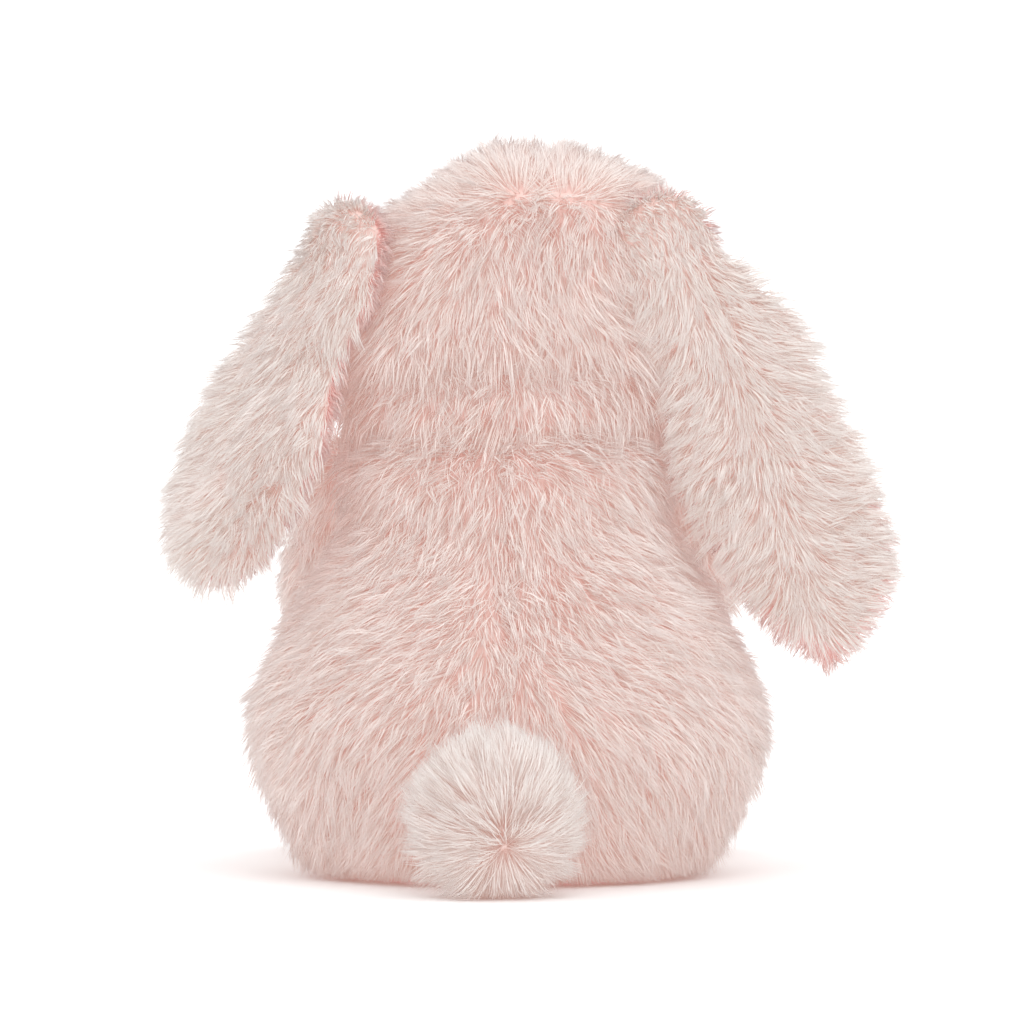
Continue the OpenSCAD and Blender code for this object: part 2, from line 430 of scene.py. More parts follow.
def pinch_seam(obj: bpy.types.Object, point: Vector, normal: Vector, depth: float, width: float,
               where: Trim | None = None) -> None:
    """Pulls the cloth in along a seam, where the stitches hold it.

    Args:
        obj: the form, which is changed.
        point: a point on the seam's plane.
        normal: the plane's normal.
        depth: how far the seam is pulled in.
        width: how far to each side the pull reaches.
        where: a share from 0 to 1 for each point, for a seam that ends.
    """
    points = points_of(obj)
    off = (points - np.array(point)) @ np.array(Vector(normal).normalized())
    pull = depth * np.exp(-((off / width) ** 2))
    if where is not None:
        pull = pull * where(points)
    set_points(obj, points - normals_of(obj) * pull[:, None])


def lining_of(obj: bpy.types.Object, name: str, inset: float, lump: float, seed: int) -> bpy.types.Object:
    """Makes the filling that lies under a cover: the same form, smaller and lumpy.

    Args:
        obj: the filled-out form of the cover.
        name: the filling's name.
        inset: how far under the cover it lies.
        lump: how high its lumps are.
        seed: which lumps it has.

    Returns:
        The filling.
    """
    inner = copy_of(obj, name)
    points, normals = points_of(inner), normals_of(inner)
    bumps = waves(points, 12 * MM, seed) + 0.5 * waves(points, 5 * MM, seed + 1)
    set_points(inner, points - normals * (inset + lump * (1 + np.clip(bumps, -1, 1)))[:, None])
    return inner


# ---------------------------------------------------------------- pile


@dataclass(frozen=True)
class Pile:
    """How one kind of plush pile grows: its length, thickness, closeness, lean and tufts."""

    length: float
    radius: float
    density: float
    lean: float = 0.8
    fall: float = 1.2
    tuft: float = 2.4 * MM
    cling: float = 0.42
    swirl: float = 0.35
    uneven: float = 0.16
    rings: int = 2
    most: int = 18000
    sunk: float = 0.3 * MM
    softness: float = 0.8

    def between(self) -> "Pile":
        """Returns the shorter, single-pointed pile that stands between this pile's strands."""
        return replace(
            self, length=self.length * 0.84, radius=self.radius * 1.05, lean=(self.lean + self.fall) / 2,
            cling=0.25, rings=1, density=self.density * 2.4, most=int(self.most * 2.4), uneven=0.3,
        )

    def grow(self, cloth: bpy.types.Object, name: str, comb: Comb, trim: Trim | None,
             seed: int) -> bpy.types.Object:
        """Grows the pile on a cloth, as closed tapering strands.

        Args:
            cloth: the open cloth that the pile stands on.
            name: the new object's name.
            comb: the direction that the pile is brushed in, at points with their normals.
            trim: a share of the full length at each point, or None.
            seed: which pile it is.

        Returns:
            The strands as one mesh.
        """
        least = 0.02
        rng = np.random.default_rng(seed)
        roots, normals = self._scatter(cloth, rng)
        share = np.ones(len(roots)) if trim is None else trim(roots)
        kept = share > least
        roots, normals, share = roots[kept], normals[kept], share[kept]
        paths = self._paths(roots, normals, share, comb, rng, seed)
        paths[..., 2] = np.maximum(paths[..., 2], FLOOR_CLEARANCE)
        tint = self._tints(roots, rng, seed)
        return self._mesh(name, paths, normals, tint, rng)

    def _scatter(self, cloth: bpy.types.Object, rng: np.random.Generator) -> tuple[np.ndarray, np.ndarray]:
        """Places the roots evenly at random over the cloth.

        Args:
            cloth: the open cloth.
            rng: the source of chance.

        Returns:
            The roots, and the cloth's smooth normals there.
        """
        mesh = cloth.data
        mesh.calc_loop_triangles()
        corners = np.empty(len(mesh.loop_triangles) * 3, np.int32)
        mesh.loop_triangles.foreach_get("vertices", corners)
        corners = corners.reshape(-1, 3)
        points, normals = points_of(cloth), normals_of(cloth)
        a, b, c = (points[corners[:, k]] for k in range(3))
        areas = np.linalg.norm(np.cross(b - a, c - a), axis=1) / 2
        thin = 1.0
        count = int(min(self.most, self.density * areas.sum() / MM**2) * thin)
        chosen = rng.choice(len(areas), count, p=areas / areas.sum())
        u, v = rng.random(count), rng.random(count)
        flip = u + v > 1
        u[flip], v[flip] = 1 - u[flip], 1 - v[flip]
        shares = np.stack([1 - u - v, u, v], 1)
        chosen_corners = corners[chosen]
        roots = (points[chosen_corners] * shares[..., None]).sum(1)
        return roots, unit((normals[chosen_corners] * shares[..., None]).sum(1))

    def _guides(self, roots: np.ndarray, rng: np.random.Generator) -> np.ndarray:
        """Chooses the strand that leads each tuft and finds the one that every strand follows.

        Args:
            roots: the strands' roots.
            rng: the source of chance.

        Returns:
            For each strand, the number of the strand that leads it.
        """
        closeness = self.density * 1.0
        count = max(4, int(len(roots) / max(1.0, closeness * (self.tuft / MM) ** 2)))
        leaders = rng.choice(len(roots), min(count, len(roots)), replace=False)
        tree = kdtree.KDTree(len(leaders))
        for number in leaders:
            tree.insert(roots[number], int(number))
        tree.balance()
        return np.array([tree.find(root)[1] for root in roots])

    def _paths(self, roots: np.ndarray, normals: np.ndarray, share: np.ndarray, comb: Comb,
               rng: np.random.Generator, seed: int) -> np.ndarray:
        """Works out where each strand runs.

        Args:
            roots: the strands' roots.
            normals: the cloth's normals there.
            share: the share of the full length that each strand has.
            comb: the direction that the pile is brushed in.
            rng: the source of chance.
            seed: which pile it is.

        Returns:
            An array of strand, ring and coordinate, from the root to the tip.
        """
        count = len(roots)
        leader = self._guides(roots, rng)

        def chance(tuft: float, own: float) -> np.ndarray:
            """Random offsets, one part shared by a tuft's strands and one part each strand's own."""
            return (tuft * rng.normal(size=count))[leader] + own * rng.normal(size=count)

        turn = chance(0.22, 0.10) + self.swirl * waves(roots, 26 * MM, seed + 11)
        lift = chance(0.10, 0.08) + 0.12 * waves(roots, 16 * MM, seed + 23)
        size = 1 + self.uneven * chance(0.6, 0.6)
        length = self.length * share * np.clip(size, 0.55, 1.35)
        flow = along_surface(comb(roots, normals), normals)
        side = np.cross(normals, flow)
        flow = flow * np.cos(turn)[:, None] + side * np.sin(turn)[:, None]
        rings = self.rings
        path = np.empty((count, rings + 1, 3))
        path[:, 0] = roots - normals * self.sunk
        for ring in range(rings):
            part = ring / max(1, rings - 1)
            lean = np.clip(self.lean + (self.fall - self.lean) * part - lift, 0.05, 1.5)[:, None]
            step = normals * np.cos(lean) + flow * np.sin(lean)
            path[:, ring + 1] = path[:, ring] + step * (length / rings)[:, None]
        apart = roots - roots[leader]
        cling = np.clip(self.cling + 0.15 * rng.normal(size=count), 0, 0.92)
        for ring in range(1, rings + 1):
            part = ring / rings
            pull = (cling * part**1.4)[:, None]
            goal = path[leader, ring] + apart * 0.12
            path[:, ring] += (goal - path[:, ring]) * pull * (share > 0.3)[:, None]
        return path

    def _tints(self, roots: np.ndarray, rng: np.random.Generator, seed: int) -> np.ndarray:
        """Gives every strand a tint from 0 to 1: its own, its patch's and a little chance."""
        patch = 0.5 + 0.3 * waves(roots, 13 * MM, seed + 31) + 0.2 * waves(roots, 6 * MM, seed + 37)
        return np.clip(0.05 + 0.65 * np.clip(patch, 0, 1) + 0.3 * rng.random(len(roots)), 0.02, 0.98)

    def _mesh(self, name: str, paths: np.ndarray, normals: np.ndarray, tint: np.ndarray,
              rng: np.random.Generator) -> bpy.types.Object:
        """Turns paths into three-sided strands that taper to a point and are closed at the root.

        Args:
            name: the object's name.
            paths: strand, ring and coordinate.
            normals: the cloth's normals at the roots.
            tint: each strand's tint.
            rng: the source of chance.

        Returns:
            The strands as one mesh, with the tint and the place along the strand in its UV map.
        """
        count, rings = len(paths), self.rings
        spin = rng.random(count) * TAU
        ring_points = []
        for ring in range(rings):
            ahead = unit(paths[:, ring + 1] - paths[:, max(0, ring - 1)])
            across = unit(np.cross(ahead, normals) + 1e-6)
            third = np.cross(ahead, across)
            wide = self.radius * (1 - 0.55 * (ring / rings) ** 1.5)
            for corner in range(3):
                angle = spin + corner * TAU / 3
                offset = across * np.cos(angle)[:, None] + third * np.sin(angle)[:, None]
                ring_points.append(paths[:, ring] + offset * wide)
        ring_points.append(paths[:, rings])
        points = np.stack(ring_points, 1)
        per = 3 * rings + 1
        faces = [(0, 2, 1)]
        for ring in range(rings - 1):
            low, high = 3 * ring, 3 * ring + 3
            for k in range(3):
                n = (k + 1) % 3
                faces += [(low + k, low + n, high + n), (low + k, high + n, high + k)]
        top = 3 * (rings - 1)
        faces += [(top + k, top + (k + 1) % 3, per - 1) for k in range(3)]
        pattern = np.array(faces, np.int32)
        mesh = repeated(name, points, pattern)
        height = np.array([ring / rings for ring in range(rings) for _ in range(3)] + [1.0])
        uv = np.empty((count * pattern.size, 2), np.float32)
        uv[:, 0] = np.repeat(tint, pattern.size)
        uv[:, 1] = np.tile(0.03 + 0.94 * height[pattern.reshape(-1)], count)
        mesh.uv_layers.new(name=PILE_UV).data.foreach_set("uv", uv.ravel())
        self._soften(mesh, normals, per)
        return stand(name, mesh)

    def _soften(self, mesh: bpy.types.Mesh, normals: np.ndarray, per: int) -> None:
        """Turns the strands' normals most of the way to the cloth's, so that the pile shades softly.

        Args:
            mesh: the strands.
            normals: the cloth's normals at the roots.
            per: how many vertices a strand has.
        """
        own = rows_of(mesh.vertex_normals, "vector")
        cloth = np.repeat(normals, per, 0)
        share = self.softness * (0.5 + 0.5 * (own * cloth).sum(1, keepdims=True))
        mesh.normals_split_custom_set_from_vertices(unit(own * (1 - share) + cloth * share))


def backing_uv(obj: bpy.types.Object, height: float = 0.03) -> None:
    """Gives a cloth the pile's UV map, with every corner at the colour that a strand has low down, which near
    the root is painted shade of the deep pile.

    Args:
        obj: the cloth.
        height: the place along a strand whose colour the cloth takes.
    """
    for layer in list(obj.data.uv_layers):
        obj.data.uv_layers.remove(layer)
    layer = obj.data.uv_layers.new(name=PILE_UV)
    uv = np.tile(np.array([0.5, height], np.float32), len(obj.data.loops))
    layer.data.foreach_set("uv", uv)


# ---------------------------------------------------------------- finishes


class Nodes:
    """A node tree, with short calls for what the finishes need."""

    def __init__(self, tree: bpy.types.NodeTree) -> None:
        """Takes up a tree.

        Args:
            tree: the tree that the nodes go into.
        """
        self.tree = tree

    def add(self, kind: str, values: dict[str | int, object] | None = None,
            **settings: object) -> bpy.types.Node:
        """Adds a node.

        Args:
            kind: the node's type.
            values: the values of its inputs, by name or number.
            **settings: the node's own properties.

        Returns:
            The node.
        """
        node = self.tree.nodes.new(kind)
        for key, value in settings.items():
            setattr(node, key, value)
        for socket, value in (values or {}).items():
            node.inputs[socket].default_value = value
        return node

    def link(self, source: bpy.types.NodeSocket, target: bpy.types.NodeSocket) -> None:
        """Joins two sockets."""
        self.tree.links.new(source, target)


class Surface(Nodes):
    """A new material, whose Principled BSDF the other nodes feed."""

    def __init__(self, name: str) -> None:
        """Starts the material.

        Args:
            name: the material's name.
        """
        self.material = bpy.data.materials.new(name)
        self.material.use_nodes = True
        super().__init__(self.material.node_tree)
        self.shader = next(n for n in self.tree.nodes if n.type == "BSDF_PRINCIPLED")

    def set(self, **values: object) -> None:
        """Sets the shader's own sockets: underscores stand for the spaces in their names."""
        for key, value in values.items():
            self.shader.inputs[key.replace("_", " ")].default_value = value

    def ramp(self, stops: list[tuple[float, Colour]]) -> bpy.types.Node:
        """Adds a colour ramp with these stops."""
        node = self.add("ShaderNodeValToRGB")
        band = node.color_ramp
        while len(band.elements) < len(stops):
            band.elements.new(0.5)
        for element, (at, colour) in zip(band.elements, stops):
            element.position = at
            element.color = (*colour, 1)
        return node

    def mottle(self, colour: Colour, scale: float, strength: float) -> None:
        """Colours the surface in soft patches.

        Args:
            colour: the mean colour.
            scale: how fine the patches are.
            strength: how far they go lighter and darker.
        """
        values = {"Colour": (*colour, 1), "Scale": scale, "Strength": strength}
        group = self.add("ShaderNodeGroup", values, node_tree=bpy.data.node_groups["soft_patches"])
        self.link(group.outputs["Colour"], self.shader.inputs["Base Color"])


def new_group(name: str, inputs: dict[str, str], output: str,
              kind: str) -> tuple[Nodes, bpy.types.Node, bpy.types.Node]:
    """Starts a node group.

    Args:
        name: the group's name.
        inputs: its inputs and their types, Color or Float.
        output: its one output.
        kind: the output's type.

    Returns:
        The group's nodes, the node with its inputs and the node with its output.
    """
    tree = bpy.data.node_groups.new(name, "ShaderNodeTree")
    for socket, sort in inputs.items():
        tree.interface.new_socket(socket, in_out="INPUT", socket_type="NodeSocket" + sort)
    tree.interface.new_socket(output, in_out="OUTPUT", socket_type="NodeSocket" + kind)
    nodes = Nodes(tree)
    return nodes, nodes.add("NodeGroupInput"), nodes.add("NodeGroupOutput")


def mottle_group() -> None:
    """Builds the group that moves a Colour lighter and darker in soft patches of a Scale and Strength."""
    inputs = {"Colour": "Color", "Scale": "Float", "Strength": "Float"}
    nodes, start, end = new_group("soft_patches", inputs, "Colour", "Color")
    spot = nodes.add("ShaderNodeTexCoord")
    noise = nodes.add("ShaderNodeTexNoise", {"Detail": 3.0})
    spread = nodes.add("ShaderNodeMapRange", {"From Min": 0.3, "From Max": 0.7, "To Min": -1.0})
    amount = nodes.add("ShaderNodeMath", {2: 1.0}, operation="MULTIPLY_ADD")
    shade = nodes.add("ShaderNodeHueSaturation")
    nodes.link(spot.outputs["Object"], noise.inputs["Vector"])
    nodes.link(start.outputs["Scale"], noise.inputs["Scale"])
    nodes.link(noise.outputs["Fac"], spread.inputs["Value"])
    nodes.link(spread.outputs["Result"], amount.inputs[0])
    nodes.link(start.outputs["Strength"], amount.inputs[1])
    nodes.link(amount.outputs[0], shade.inputs["Value"])
    nodes.link(start.outputs["Colour"], shade.inputs["Color"])
    nodes.link(shade.outputs["Color"], end.inputs["Colour"])


def weave_group() -> None:
    """Builds the group that gives the Height of a plain knit or weave of a Scale."""
    nodes, start, end = new_group("plain_weave", {"Scale": "Float"}, "Height", "Float")
    spot = nodes.add("ShaderNodeTexCoord")
    both = nodes.add("ShaderNodeMath", operation="MAXIMUM")
    for number, direction in enumerate(("X", "Z")):
        band = nodes.add("ShaderNodeTexWave", {"Distortion": 1.2, "Detail": 1.0}, bands_direction=direction)
        nodes.link(spot.outputs["Object"], band.inputs["Vector"])
        nodes.link(start.outputs["Scale"], band.inputs["Scale"])
        nodes.link(band.outputs["Fac"], both.inputs[number])
    nodes.link(both.outputs[0], end.inputs["Height"])


@dataclass(frozen=True)
class PileFinish:
    """Pile that is deep in colour at its roots, as painted shade of the deep pile, and pale at its tips, with
    a painted glow, given as emission, that stands in for light scattered from fibre to fibre.
    """

    name: str
    root: Colour
    low: Colour
    middle: Colour
    tip: Colour
    glow: Colour
    roughness: float = 0.62
    sheen: float = 0.04

    def material(self) -> bpy.types.Material:
        """Builds the material, which reads only the pile's own UV map."""
        nodes = Surface(self.name)
        where = nodes.add("ShaderNodeUVMap", uv_map=PILE_UV)
        parts = nodes.add("ShaderNodeSeparateXYZ")
        nodes.link(where.outputs["UV"], parts.inputs[0])
        # The root and low colours are deeper and pinker than the tips: painted shade of the deep pile between
        # the tufts.
        ramp = nodes.ramp([(0.0, self.root), (0.3, self.low), (0.62, self.middle), (0.95, self.tip)])
        nodes.link(parts.outputs["Y"], ramp.inputs["Fac"])
        shade = nodes.add("ShaderNodeHueSaturation")
        nodes.link(ramp.outputs["Color"], shade.inputs["Color"])
        for socket, low, high in (("Value", 0.93, 1.06), ("Saturation", 1.3, 0.75)):
            spread = nodes.add("ShaderNodeMapRange", {"To Min": low, "To Max": high})
            nodes.link(parts.outputs["X"], spread.inputs["Value"])
            nodes.link(spread.outputs["Result"], shade.inputs[socket])
        nodes.link(shade.outputs["Color"], nodes.shader.inputs["Base Color"])
        # Painted glow: the emission stands in for light scattered between the fibres, and lightens and pinks
        # the shade deep in the pile.
        nodes.set(Emission_Color=(*self.glow, 1), Emission_Strength=1.0)
        nodes.set(Roughness=self.roughness, Sheen_Weight=self.sheen, Sheen_Roughness=0.5)
        nodes.set(Specular_IOR_Level=0.15)
        return nodes.material


@dataclass(frozen=True)
class ClothFinish:
    """Cloth, thread or fibre with soft patches of colour and a fine raised weave."""

    name: str
    colour: Colour
    weave: float
    bump: float
    patch: float = 60.0
    strength: float = 0.06
    roughness: float = 0.8
    sheen: float = 0.3

    def material(self) -> bpy.types.Material:
        """Builds the material on Object coordinates."""
        nodes = Surface(self.name)
        nodes.mottle(self.colour, self.patch, self.strength)
        group = bpy.data.node_groups["plain_weave"]
        weave = nodes.add("ShaderNodeGroup", {"Scale": self.weave}, node_tree=group)
        bump = nodes.add("ShaderNodeBump", {"Strength": self.bump, "Distance": 0.3 * MM})
        nodes.link(weave.outputs["Height"], bump.inputs["Height"])
        nodes.link(bump.outputs["Normal"], nodes.shader.inputs["Normal"])
        nodes.set(Roughness=self.roughness, Sheen_Weight=self.sheen, Sheen_Roughness=0.5)
        return nodes.material


@dataclass(frozen=True)
class PlasticFinish:
    """Moulded plastic, with faint patches so that it isn't one flat colour."""

    name: str
    colour: Colour
    roughness: float
    coat: float = 0.0
    gloss: float = 0.5
    patch: float = 400.0
    strength: float = 0.08

    def material(self) -> bpy.types.Material:
        """Builds the material on Object coordinates."""
        nodes = Surface(self.name)
        nodes.mottle(self.colour, self.patch, self.strength)
        nodes.set(Roughness=self.roughness, Coat_Weight=self.coat, Coat_Roughness=0.05)
        nodes.set(Specular_IOR_Level=self.gloss)
        return nodes.material


class Wardrobe:
    """All the toy's finishes, each built once."""

    def __init__(self) -> None:
        """Builds the shared groups and every material."""
        mottle_group()
        weave_group()
        # In each pile finish the root colour is painted shade of the deep pile, and the last colour is a
        # painted glow given as emission.
        self.pile = PileFinish(
            "long_pile", (0.64, 0.49, 0.46), (0.65, 0.61, 0.58), (0.66, 0.665, 0.645), (0.67, 0.70, 0.69),
            (0.25, 0.135, 0.115),
        ).material()
        self.ear = PileFinish(
            "ear_pile", (0.65, 0.52, 0.49), (0.65, 0.63, 0.60), (0.66, 0.69, 0.67), (0.67, 0.72, 0.71),
            (0.25, 0.145, 0.125),
        ).material()
        self.short = PileFinish(
            "short_pile", (0.64, 0.44, 0.41), (0.64, 0.52, 0.49), (0.65, 0.59, 0.56), (0.66, 0.63, 0.605),
            (0.27, 0.12, 0.11),
        ).material()
        self.pompom = PileFinish(
            "pompom_pile", (0.64, 0.53, 0.50), (0.64, 0.62, 0.60), (0.64, 0.66, 0.645), (0.64, 0.68, 0.67),
            (0.24, 0.14, 0.12),
        ).material()
        self.muzzle = PileFinish(
            "muzzle_pile", (0.67, 0.58, 0.55), (0.67, 0.66, 0.64), (0.68, 0.70, 0.69), (0.69, 0.72, 0.71),
            (0.26, 0.16, 0.14),
        ).material()
        self.stuffing = ClothFinish("stuffing", (0.86, 0.86, 0.84), 900, 0.9, 150, 0.05, 0.95).material()
        self.pouch = ClothFinish("pouch_cloth", (0.80, 0.77, 0.70), 520, 0.6).material()
        self.thread = ClothFinish("thread", (0.90, 0.66, 0.60), 700, 0.4, 300, 0.06, 0.5).material()
        self.nose = ClothFinish("nose_thread", (0.60, 0.20, 0.21), 700, 0.4, 300, 0.10, 0.40).material()
        self.pellets = PlasticFinish("pellets", (0.80, 0.80, 0.79), 0.45).material()
        self.eye = PlasticFinish("eye", (0.010, 0.007, 0.006), 0.10, 0.25, 0.3).material()
        self.washer = PlasticFinish("washer", (0.78, 0.78, 0.75), 0.5).material()


def dress(obj: bpy.types.Object, material: bpy.types.Material) -> bpy.types.Object:
    """Gives a piece one finish all over."""
    obj.data.materials.clear()
    obj.data.materials.append(material)
    return obj


# ---------------------------------------------------------------- sewing


def plush(panel: bpy.types.Object, name: str, pile: Pile, comb: Comb, finish: bpy.types.Material, seed: int,
          trim: Trim | None = None, thick: float = 1.2 * MM, down: bool = True) -> bpy.types.Object:
    """Makes a piece of plush: the pile on its cloth, and the cloth given its thickness.

    Args:
        panel: the open cloth, which becomes part of the piece.
        name: the piece's name.
        pile: the kind of pile.
        comb: the direction that it is brushed in.
        finish: the material of pile and cloth.
        seed: which pile it is.
        trim: a share of the full length at each point, or None.
        thick: the cloth's thickness, inwards.
        down: whether a shorter, straighter pile stands between the long strands.

    Returns:
        The finished piece.
    """
    layers = [pile.grow(panel, name + "_pile", comb, trim, seed)]
    if down:
        layers.append(pile.between().grow(panel, name + "_down", comb, trim, seed + 1000))
    apply_modifier(panel, "SOLIDIFY", thickness=thick, offset=-1.0)
    backing_uv(panel)
    smooth(panel)
    piece = join([panel, *layers], name)
    return dress(piece, finish)


def enter(obj: bpy.types.Object, body: str, slot: str, *nodes: str, fill: float | None = None) -> None:
    """Hands a finished piece to the frame and reports it.

    Args:
        obj: the piece.
        body: the body that it moves with.
        slot: the record's material slot; not used.
        *nodes: the frame's nodes that it stands for.
        fill: how tightly it is stuffed, or None where it isn't a padded piece; not used.
    """
    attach(obj, body)
    if nodes:
        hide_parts(*nodes)
    obj.data.calc_loop_triangles()
    log.info("%s: %d triangles", obj.name, len(obj.data.loop_triangles))


def tube(name: str, points: list[Vector], radius: float, sides: int = 8) -> bpy.types.Object:
    """Lays a length of thread through points.

    Args:
        name: the object's name.
        points: the points that it passes.
        radius: the thread's radius.
        sides: how many sides its section has; a multiple of four.

    Returns:
        A closed mesh tube.
    """
    deselect_all()
    curve = bpy.data.curves.new(name, "CURVE")
    curve.dimensions = "3D"
    curve.bevel_depth = radius
    curve.bevel_resolution = sides // 4 - 1
    curve.use_fill_caps = True
    line = curve.splines.new("POLY")
    line.points.add(len(points) - 1)
    for knot, at in zip(line.points, points):
        knot.co = (*at, 1)
    take(stand(name, curve))
    bpy.ops.object.convert(target="MESH")
    return smooth(bpy.context.object)


def joint_place(name: str) -> Vector:
    """Returns the point that a joint turns about."""
    found = next(joint for joint in frame["joints"] if joint["name"] == name)
    return Vector(found["pos_m"])


# ---------------------------------------------------------------- torso


@dataclass
class Torso:
    """The pear-shaped body: three long-pile panels and a flat base over stuffing and a pellet pouch."""

    wardrobe: Wardrobe
    base_r: float = 40 * MM
    belly_z: float = 35 * MM
    neck_r: float = 24 * MM
    under: float = 2.6 * MM
    side_seam: float = math.radians(-20)
    cloth: float = 1.2 * MM
    pile: Pile = Pile(length=10.5 * MM, radius=0.15 * MM, density=0.8, most=8000)

    def __post_init__(self) -> None:
        """Reads the torso's height and widest radius from the frame."""
        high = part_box("back_panel_left")[1]
        self.height = high.z
        self.belly_r = high.x

    def radius(self, z: float) -> float:
        """Returns the outside radius of the plush at a height, as the frame has it."""
        if z < self.belly_z:
            swell = math.sin(math.acos(1 - z / self.belly_z))
            return self.base_r + (self.belly_r - self.base_r) * swell
        part = min(1.0, (z - self.belly_z) / (self.height - self.belly_z))
        return self.neck_r + (self.belly_r - self.neck_r) * (1 - part**1.5) ** 0.75

    def build(self) -> None:
        """Builds every piece of the torso."""
        form = self._form()
        pinch_seam(form, Vector(), ACROSS, 1.0 * MM, 2.4 * MM, lambda p: (p[:, 1] > 0) * 1.0)
        for side in Side:
            angle = self.side_seam if side is Side.LEFT else math.pi - self.side_seam
            line = Vector((math.cos(angle), math.sin(angle), 0))
            across = Vector((-line.y, line.x, 0))
            pinch_seam(form, Vector(), across, 1.2 * MM, 2.6 * MM,
                       lambda p, line=line: (p[:, :2] @ np.array(line)[:2] > 0) * 1.0)
        filling = lining_of(form, "body_filling", self.cloth + 0.2 * MM, 0.7 * MM, 3)
        self._panels(form)
        self._insides(filling)
        self._closing_thread()
        discard(form)

    def _fullness(self, z: float) -> float:
        """Returns how far the stuffing fills the cloth beyond the plain pear at a height."""
        at = z / MM
        return (5.2 * bell(at, 38, 18) - 2.6 * bell(at, 80, 13) + 3.5 * bell(at, 100, 8)) * MM

    def cloth_radius(self, z: float) -> float:
        """Returns the radius of the stuffed cloth under the pile at a height."""
        return self.radius(z) - self.under - 1.0 * MM + self._fullness(z)

    def _form(self) -> bpy.types.Object:
        """Draws the pear and lets the stuffing press it out."""
        stations = []
        steps, floor, least = 18, 1.2 * MM, 4 * MM
        for k in range(steps + 1):
            z = self.height * 0.5 * (1 - math.cos(math.pi * k / steps))
            r = max(self.cloth_radius(z), least)
            shoulder = 1 + 0.24 * bell(z / MM, 108, 10)
            stations.append(Station(max(z, floor), r * shoulder, r * 0.985))
        stations.append(Station(self.height + 4 * MM, self.neck_r + 1 * MM, self.neck_r - 6 * MM))
        form = loft("torso_form", stations, 48)
        Puff(voxel=3.6 * MM, cap=1.6 * MM).fill(form)
        points = points_of(form)
        points[:, 2] = np.maximum(points[:, 2], floor)
        set_points(form, points)
        return form

    def _comb_back(self, points: np.ndarray, normals: np.ndarray) -> np.ndarray:
        """Down, and away from the seam in the middle of the back."""
        across = -around(points)
        off = np.clip(points[:, 0] / (24 * MM), -1, 1)
        calm = 1 - 0.5 * np.clip(np.abs(points[:, 0]) / (50 * MM), 0, 1)
        calm = calm * np.clip((self.height - points[:, 2]) / (26 * MM), 0, 1)
        return across * (0.6 * off * calm)[:, None] + falling(normals)

    def _comb_front(self, points: np.ndarray, normals: np.ndarray) -> np.ndarray:
        """Down, and a little to the sides."""
        off = np.clip(points[:, 0] / (30 * MM), -1, 1)
        return around(points) * (0.4 * off)[:, None] + falling(normals)

    def _trim(self, points: np.ndarray) -> np.ndarray:
        """Shorter pile near the floor, where the toy sits on it, and at the hips and the tail."""
        share = np.clip(0.45 + points[:, 2] / (16 * MM), 0, 1)
        for side in Side:
            far = far_from(points, joint_place(f"leg_spread_{side.word}"))
            share = share * np.clip((far - 12 * MM) / (10 * MM), 0.15, 1)
        return share * np.clip(far_from(points, joint_place("tail_wag")) / (9 * MM), 0.25, 1)

    def _panels(self, form: bpy.types.Object) -> None:
        """Cuts the form along its seams and gives each panel its pile."""
        left, right = self.side_seam, math.pi - self.side_seam
        quarter = math.pi / 2
        cuts = {
            "back_panel_left": (left + quarter, 0.0),
            "back_panel_right": (math.pi, right - quarter),
            "belly_panel": (left - quarter, right + quarter),
        }
        for number, (node, angles) in enumerate(cuts.items()):
            panel = copy_of(form, node)
            for angle in angles:
                keep_side(panel, Vector(), Vector((math.cos(angle), math.sin(angle), 0)))
            keep_side(panel, UP * 2 * MM, UP)
            keep_side(panel, UP * (self.height + 2.5 * MM), -UP)
            comb = self._comb_front if node == "belly_panel" else self._comb_back
            piece = plush(panel, node + "_plush", self.pile, comb, self.wardrobe.pile, 100 + number,
                          self._trim)
            enter(piece, "torso", "long_plush", node, fill=0.85)

    def _insides(self, filling: bpy.types.Object) -> None:
        """Makes the base panel, the filling, and the pouch with its pellets."""
        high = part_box("base_panel")[1]
        rim = high.x
        base = loft("base_panel_plush", [
            disc(0.15 * MM, rim - 2.4 * MM),
            disc(0.6 * MM, rim - 0.6 * MM),
            disc(high.z - 0.6 * MM, rim - 0.4 * MM),
            disc(high.z - 0.1 * MM, rim - 3 * MM),
        ], 96)
        smooth(base)
        backing_uv(base, 0.55)
        enter(dress(base, self.wardrobe.short), "torso", "short_plush", "base_panel", fill=0.3)

        keep_side(filling, UP * high.z, UP, close=True)
        keep_side(filling, UP * (self.height - 1 * MM), -UP, close=True)
        enter(dress(filling, self.wardrobe.stuffing), "torso", "stuffing", "body_stuffing", fill=0.9)

        low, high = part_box("pellet_pouch")
        middle, half = (low.z + high.z) / 2, (high.z - low.z) / 2
        pouch = loft("pellet_pouch_cloth", [
            disc(middle + half * math.sin(a) * 0.96, high.x * (0.25 + 0.72 * math.cos(a)))
            for a in np.linspace(-math.pi / 2, math.pi / 2, 11)
        ], 40)
        Puff(voxel=2.6 * MM, cap=0.9 * MM).fill(pouch)
        enter(dress(pouch, self.wardrobe.pouch), "torso", "pouch_cloth", "pellet_pouch", fill=0.6)
        self._pellets(middle, half - 3 * MM, high.x * 0.97 - 4 * MM)

